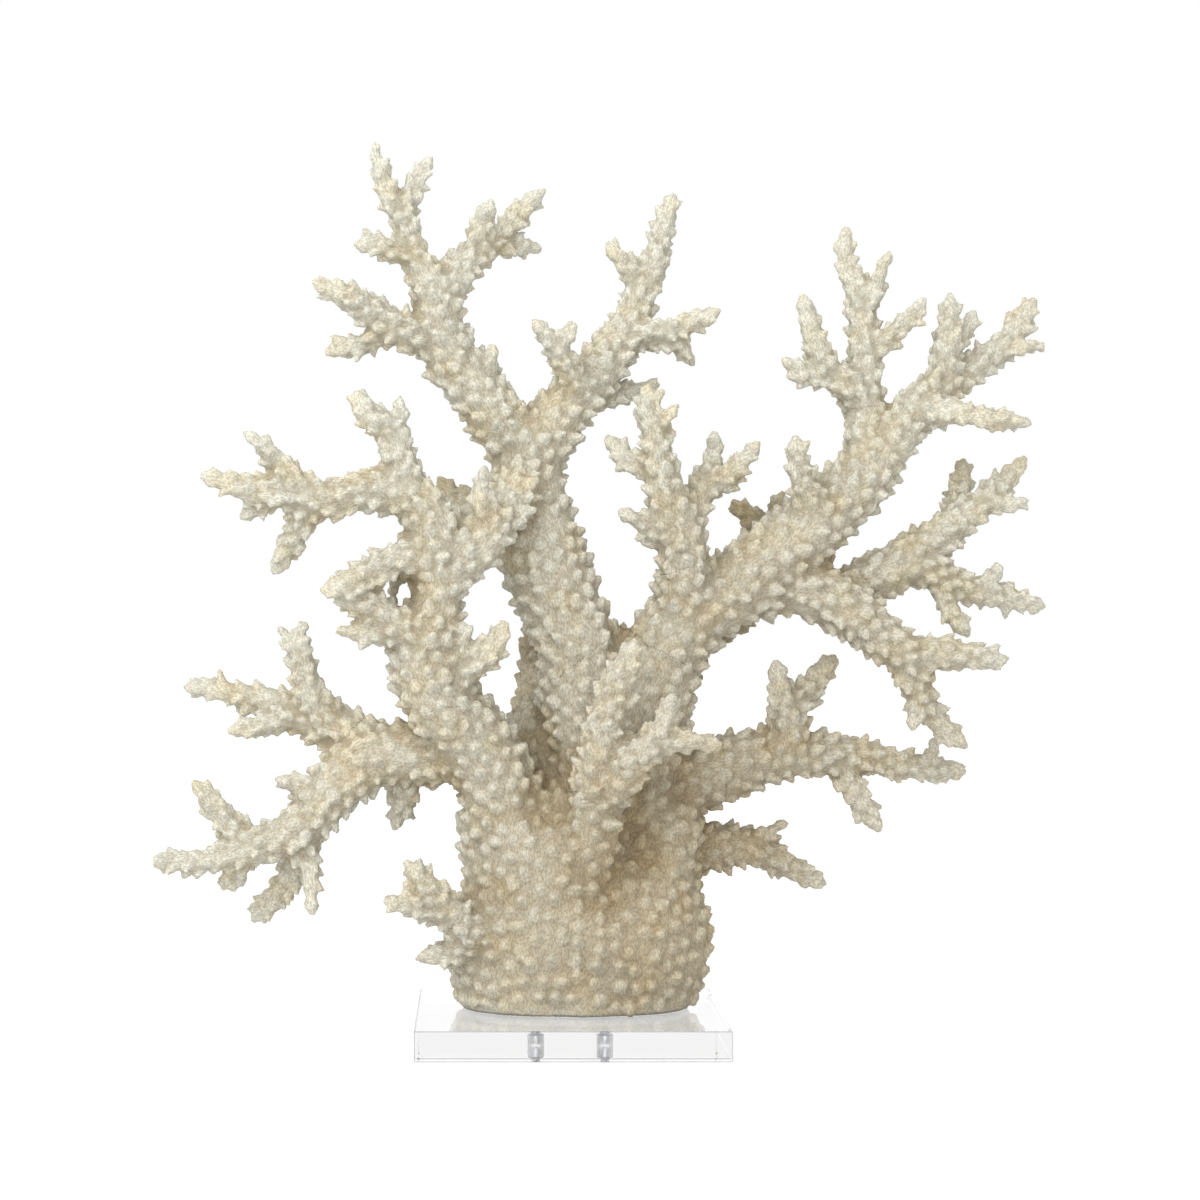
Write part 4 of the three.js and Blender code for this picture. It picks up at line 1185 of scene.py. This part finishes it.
def mixed(tree, share, first, second, blend="MIX"):
    """The first colour, blended with the second as far as the share goes."""
    inputs = {"Factor": share, "A": first, "B": second}
    return new_node(tree, "ShaderNodeMix", inputs, data_type="RGBA", blend_type=blend).outputs["Result"]


def tinted_and_shaded(tree, color, share, tint):
    """The colour, multiplied by a tint as far as the share goes."""
    return mixed(tree, share, color, tint, "MULTIPLY")


def tinted_and_shaded_round(tree, color, where, spot, start, whole, tint):
    """The colour, multiplied by a tint whose share goes by the distance from a spot."""
    distance = new_node(tree, "ShaderNodeVectorMath", {0: where, 1: spot}, operation="DISTANCE")
    return tinted_and_shaded(tree, color, faded(tree, distance.outputs["Value"], start, whole), tint)


def coral_finish():
    """Ivory coral, paler far from the trunk, with a grain along each branch. Light and shade are painted
    in:
    paler crests and tanner clefts, painted shade browner near the trunk, on the right and behind, a dark
    rim at the foot as painted contact shade, and the sawn sole painted bluish white as if lit through the
    block."""
    finish, tree, shader = new_material("ivory_coral")
    where = object_place(tree)
    parts = new_node(tree, "ShaderNodeSeparateXYZ", {"Vector": where}).outputs

    # Painted light and shade: paler on crests, darker and tanner in hollows
    crests = new_node(tree, "ShaderNodeValToRGB", {"Fac": look_of(tree, "hollow")})
    ramp = crests.color_ramp.elements
    ramp[0].position = CREST_END
    ramp[0].color = CREST_COLOR
    ramp[1].color = CLEFT_SHADE_COLOR
    ramp.new(SLOPE_PLACE).color = SLOPE_SHADE_COLOR
    color = tinted_and_shaded_round(tree, crests.outputs["Color"], where, *FAR_TINT)
    blotches = noise_of(tree, where, BLOTCHES, Detail=3)
    color = tinted_and_shaded(tree, color, faded(tree, blotches, *BLOTCH_BAND), BLOTCH_TINT)
    # Painted shade: darker and tanner in forks and pockets
    color = tinted_and_shaded(tree, color, look_of(tree, "cleft"), FORK_SHADE)
    # Painted shade: browner round the trunk's foot and middle
    color = tinted_and_shaded_round(tree, color, where, *ROOT_SHADE)
    # Painted shade: darker on the right, the side that the light reaches less
    color = tinted_and_shaded_round(tree, color, where, *RIGHT_SHADE)
    # Painted shade: darker on what lies far behind
    color = tinted_and_shaded(tree, color, faded(tree, parts["Y"], *BACK_SHADE_BAND), BACK_SHADE)

    grain = noise_of(tree, look_of(tree, "grain", "Vector"), GRAINS, Detail=2, Roughness=0.6)
    # The grain's speckle, times the rim over the foot, which is darkened as painted contact shade
    shades = {0: faded(tree, grain, *SPECKLE), 1: faded(tree, parts["Z"], *FOOT_RIM_SHADE)}
    shade = new_node(tree, "ShaderNodeMath", shades, operation="MULTIPLY")
    shaded = {0: color, "Scale": shade.outputs["Value"]}
    flecked_and_rim_shaded = new_node(tree, "ShaderNodeVectorMath", shaded, operation="SCALE").outputs["Vector"]

    bump = new_node(tree, "ShaderNodeBump", {"Height": grain, "Strength": 0.6, "Distance": GRAIN_BUMP})
    set_inputs(tree, shader, {
        # The sawn sole takes painted light: bluish white
        "Base Color": mixed(tree, faded(tree, parts["Z"], *SOLE_EDGE), SOLE_LIGHT_COLOR, flecked_and_rim_shaded),
        "Normal": bump.outputs["Normal"],
        "Roughness": 0.8,
        "Specular IOR Level": 0.25,
    })
    return finish


def acrylic_finish():
    """Clear polished acrylic, frosted in its drilled holes, with painted shade that greys its chamfers."""
    finish, tree, shader = new_material("clear_acrylic")
    set_inputs(tree, shader, {
        # Painted shade: the chamfers are greyed
        "Base Color": mixed(tree, look_of(tree, "edge"), WHITE, CHAMFER_SHADE_COLOR),
        "Roughness": faded(tree, look_of(tree, "drilled"), 0, 1, 0, FROST),
        "IOR": 1.49,
        "Transmission Weight": 1.0,
        "Specular IOR Level": 0.05,
    })
    volume = {"Color": VOLUME_COLOR, "Density": ACRYLIC_DENSITY}
    absorbing = new_node(tree, "ShaderNodeVolumeAbsorption", volume).outputs["Volume"]
    set_inputs(tree, tree.nodes["Material Output"], {"Volume": absorbing})
    return finish


def steel_finish():
    """Plain bright screw steel, finely brushed."""
    finish, tree, shader = new_material("screw_steel")
    set_inputs(tree, shader, {
        "Base Color": STEEL_COLOR,
        "Metallic": 1.0,
        "Roughness": faded(tree, noise_of(tree, object_place(tree), BRUSHINGS), 0, 1, *BRUSHED),
    })
    return finish


def block_half():
    """The block's right half as a grid of angle and outline, from the top down through the hole and
    back up outside. Each outer row is a rectangle with cut corners whose points lie in the angles'
    directions from the hole's middle, each inner row is the hole's circle there.

    Also tells which columns lie on a cut corner.
    """
    middle = np.array((HOLE_PLACE, 0.0))
    low = np.array((0.0, -BLOCK_DEPTH / 2))
    high = np.array((BLOCK_WIDTH / 2, BLOCK_DEPTH / 2))
    cut = BLOCK_CHAMFER
    corners = [(low[0], low[1]), (low[0], high[1])]
    corners += [(high[0] - cut, side * high[1]) for side in (-1, 1)]
    corners += [(high[0], side * (high[1] - cut)) for side in (-1, 1)]
    corner_angles = [np.arctan2(y - middle[1], x - middle[0]) for x, y in corners]
    even_angles = np.linspace(-np.pi, np.pi, BLOCK_RAYS, endpoint=False)
    angles = np.unique(np.concatenate((even_angles, corner_angles)))
    ray = np.column_stack((np.cos(angles), np.sin(angles)))
    room = np.where(ray > 0, high - middle, middle - low)
    reach = (room / np.maximum(np.abs(ray), NEVER_ZERO)).min(axis=1)
    diagonal = (high.sum() - cut - middle.sum()) / np.maximum(ray[:, 0] + np.abs(ray[:, 1]), NEVER_ZERO)
    reach = np.where(ray[:, 0] > 0, np.minimum(reach, diagonal), reach)
    outer = middle + ray * reach[:, None]

    # The chamfer draws each side in by its width, and its corners lie where drawn-in sides meet
    to_side = high[0] - outer[:, 0]
    to_end = high[1] - np.abs(outer[:, 1])
    on_cut = to_side + to_end < cut + TOUCHING
    share = np.tan(np.pi / 8)
    inward = np.column_stack((
        np.where(to_side < TOUCHING, 1, share * on_cut),
        np.where(to_end < TOUCHING, 1, share * on_cut) * np.sign(outer[:, 1]),
    ))
    inner = outer - cut * inward
    hole = middle + ray * HOLE_RADIUS
    counterbore = middle + ray * COUNTERBORE_RADIUS
    rows = (
        (inner, BLOCK_HEIGHT),
        (hole, BLOCK_HEIGHT),
        (hole, COUNTERBORE_DEPTH + CONE_HEIGHT),
        (counterbore, COUNTERBORE_DEPTH),
        (counterbore, 0.0),
        (inner, 0.0),
        (outer, BLOCK_CHAMFER),
        (outer, BLOCK_HEIGHT - BLOCK_CHAMFER),
    )
    grid = np.array([np.column_stack((flat, np.full(len(flat), height))) for flat, height in rows])
    return grid, on_cut


def clear_block(finish):
    """The clear block with its two counterbored holes: the right half's grid and its mirror image,
    joined where they meet at the middle. Its chamfers are marked as edge, its holes as drilled."""
    grid, on_cut = block_half()
    rows, columns = grid.shape[:2]
    row, column = grid_cells(rows, columns)
    below = (row + 1) % rows
    beside = (column + 1) % columns
    squares = np.column_stack((
        row * columns + column,
        row * columns + beside,
        below * columns + beside,
        below * columns + column,
    ))
    top_chamfer = rows - 1
    upright = rows - 2
    lower_chamfer = rows - 3
    underside = rows - 4
    cut_corner = (row == upright) & on_cut[column] & on_cut[beside]
    edge = (row == lower_chamfer) | (row == top_chamfer) | cut_corner
    drilled = (row > 0) & (row < underside)
    points = grid.reshape(-1, 3)
    kept = ~(np.abs(points[squares][:, :, 0]) < TOUCHING).all(axis=1)
    squares = squares[kept]
    both = np.vstack((points, points * (-1, 1, 1)))
    squares = np.vstack((squares, squares[:, ::-1] + len(points)))
    joined, back = np.unique(np.round(both, JOIN_DIGITS), axis=0, return_inverse=True)
    squares = back.reshape(-1)[squares]
    split = split_squares(squares)
    if not np.array_equal(outward_facing(joined, split)[1], split):
        squares = squares[:, ::-1]
    piece = mesh_object("clear_block", joined, squares)
    add_look(piece, "edge", np.tile(edge[kept], 2), "FACE")
    add_look(piece, "drilled", np.tile(drilled[kept], 2), "FACE")
    piece.data.set_sharp_from_angle(angle=np.radians(BLOCK_SHARP))
    piece.data.materials.append(finish)
    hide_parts("acrylic_block")
    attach(piece, "root")


def threaded_screw(name, node, x, finish):
    """A screw: rings of one outline turned about its axis, and on the shank the radius is
    core + (crest - core) * |saw of (height / pitch - angle / a full turn)|."""
    angles = np.linspace(0, 2 * np.pi, SCREW_CORNERS, endpoint=False)
    head_top = COUNTERBORE_DEPTH - SCREW_ROOM
    head_low = head_top - HEAD_HEIGHT
    socket_end = head_low + SOCKET_DEPTH
    crest = HOLE_RADIUS - SCREW_ROOM
    neck = head_top + CONE_HEIGHT
    end = BLOCK_HEIGHT + SCREW_REACH
    heights = np.arange(neck + THREAD_START, end - crest, THREAD_PITCH / THREAD_STEPS)
    # [radius, height] of each ring from the socket's end to the neck
    head = np.array([
        (SOCKET_RADIUS * SOCKET_TAPER, socket_end),
        (SOCKET_RADIUS, socket_end - EDGE_BREAK),
        (SOCKET_RADIUS, head_low + EDGE_BREAK),
        (SOCKET_RADIUS + SOFT_EDGE, head_low),
        (HEAD_RADIUS - HEAD_ROUND, head_low),
        (HEAD_RADIUS - SOFT_EDGE, head_low + SOFT_EDGE),
        (HEAD_RADIUS, head_low + HEAD_ROUND),
        (HEAD_RADIUS, head_top - EDGE_BREAK),
        (HEAD_RADIUS - EDGE_BREAK, head_top),
        (crest, neck),
    ])
    saw = np.abs(((heights[:, None] / THREAD_PITCH - angles / (2 * np.pi)) % 1.0) * 2 - 1)
    taper = np.clip((end - crest - heights) / TIP_LENGTH, 0, 1)[:, None]
    thread = crest - THREAD_DEPTH * (1 - saw) - (1 - taper) * TIP_TAPER * crest
    tip = np.full(SCREW_CORNERS, TIP_RADIUS * crest)
    radius = np.vstack((np.tile(head[:, :1], SCREW_CORNERS), thread, tip))
    height = np.concatenate((head[:, 1], heights, [end - TIP_HEIGHT * crest]))
    height = np.broadcast_to(height[:, None], radius.shape)
    # The socket's three rings are hexagons
    hexagon = 1 / np.cos((angles + np.pi / 6) % (np.pi / 3) - np.pi / 6)
    radius[:3] = radius[:3] * hexagon * np.cos(np.pi / 6)
    grid = np.stack((x + radius * np.cos(angles), radius * np.sin(angles), height), axis=-1)
    points, faces = closed_grid(grid, (x, 0, socket_end), (x, 0, end - TIP_DOME))
    piece = mesh_object(name, *outward_facing(points, faces))
    piece.data.materials.append(finish)
    piece.data.shade_smooth()
    piece.data.set_sharp_from_angle(angle=np.radians(SCREW_SHARP))
    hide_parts(node)
    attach(piece, "root")


def studio():
    """Pale floor, white surroundings, soft lights and the photograph's camera."""
    corners = np.array(((-1, -1), (1, -1), (1, 1), (-1, 1))) * FLOOR_HALF
    corners = np.column_stack((corners, np.full(4, -FLOOR_DROP)))
    floor = mesh_object("floor", corners, np.arange(4).reshape(1, 4))
    finish, tree, shader = new_material("white_floor")
    set_inputs(tree, shader, {
        "Base Color": (FLOOR_SHADE, FLOOR_SHADE, FLOOR_SHADE, 1),
        "Roughness": 0.9,
        "Specular IOR Level": 0.0,
        "Emission Color": WHITE,
        "Emission Strength": FLOOR_GLOW,
    })
    floor.data.materials.append(finish)

    world = bpy.data.worlds.new("white_studio")
    world.use_nodes = True
    background = world.node_tree.nodes["Background"]
    set_inputs(world.node_tree, background, {"Color": WHITE, "Strength": WORLD_STRENGTH})
    scene = bpy.context.scene
    scene.world = world

    for name, spot, size, watts in LIGHTS:
        data = bpy.data.lights.new(name, "AREA")
        data.shape = "SQUARE"
        data.size = size
        data.energy = watts
        lamp = new_object(name, data)
        lamp.location = spot
        lamp.rotation_mode = "QUATERNION"
        lamp.rotation_quaternion = (Vector(LIT_POINT) - Vector(spot)).to_track_quat("-Z", "Y")

    data = bpy.data.cameras.new("camera")
    data.sensor_width = SENSOR_MM
    data.lens = FOCAL / PICTURE * SENSOR_MM
    data.shift_x = 0.5 - SIGHT_ACROSS / PICTURE
    data.shift_y = SIGHT_DOWN / PICTURE - 0.5
    data.clip_end = FAR_END
    camera = new_object("camera", data)
    camera.location = EYE
    camera.rotation_euler = (np.pi / 2, 0, 0)
    scene.camera = camera
    scene.cycles.max_bounces = LIGHT_TURNS
    scene.cycles.glossy_bounces = LIGHT_TURNS
    scene.cycles.transmission_bounces = LIGHT_TURNS
    scene.view_settings.view_transform = "Standard"
    scene.view_settings.look = "None"


steel = steel_finish()
clear_block(acrylic_finish())
for side, x in (("left", -HOLE_PLACE), ("right", HOLE_PLACE)):
    threaded_screw(f"threaded_screw_{side}", f"mounting_screw_{side}", x, steel)

skin_points, skin_faces, marks, cleft = grow_coral()
skin_edges = edges_of(skin_faces)
skin_points = eased(skin_points, skin_edges, SKIN_EASING)
hollow = hollow_measure(skin_points, skin_faces, skin_edges)
skin_points = roughened(skin_points, skin_faces, skin_edges)
skin_points = np.clip(skin_points, np.array(cad_low) + INSIDE, np.array(cad_high) - INSIDE)
skin_points[skin_points[:, 2] < FOOT + SOLE_BAND, 2] = FOOT
looks = {"hollow": hollow, "cleft": cleft, "grain": grain_places(skin_points, marks)}
part_coral(skin_points, skin_faces, looks, coral_finish())
studio()
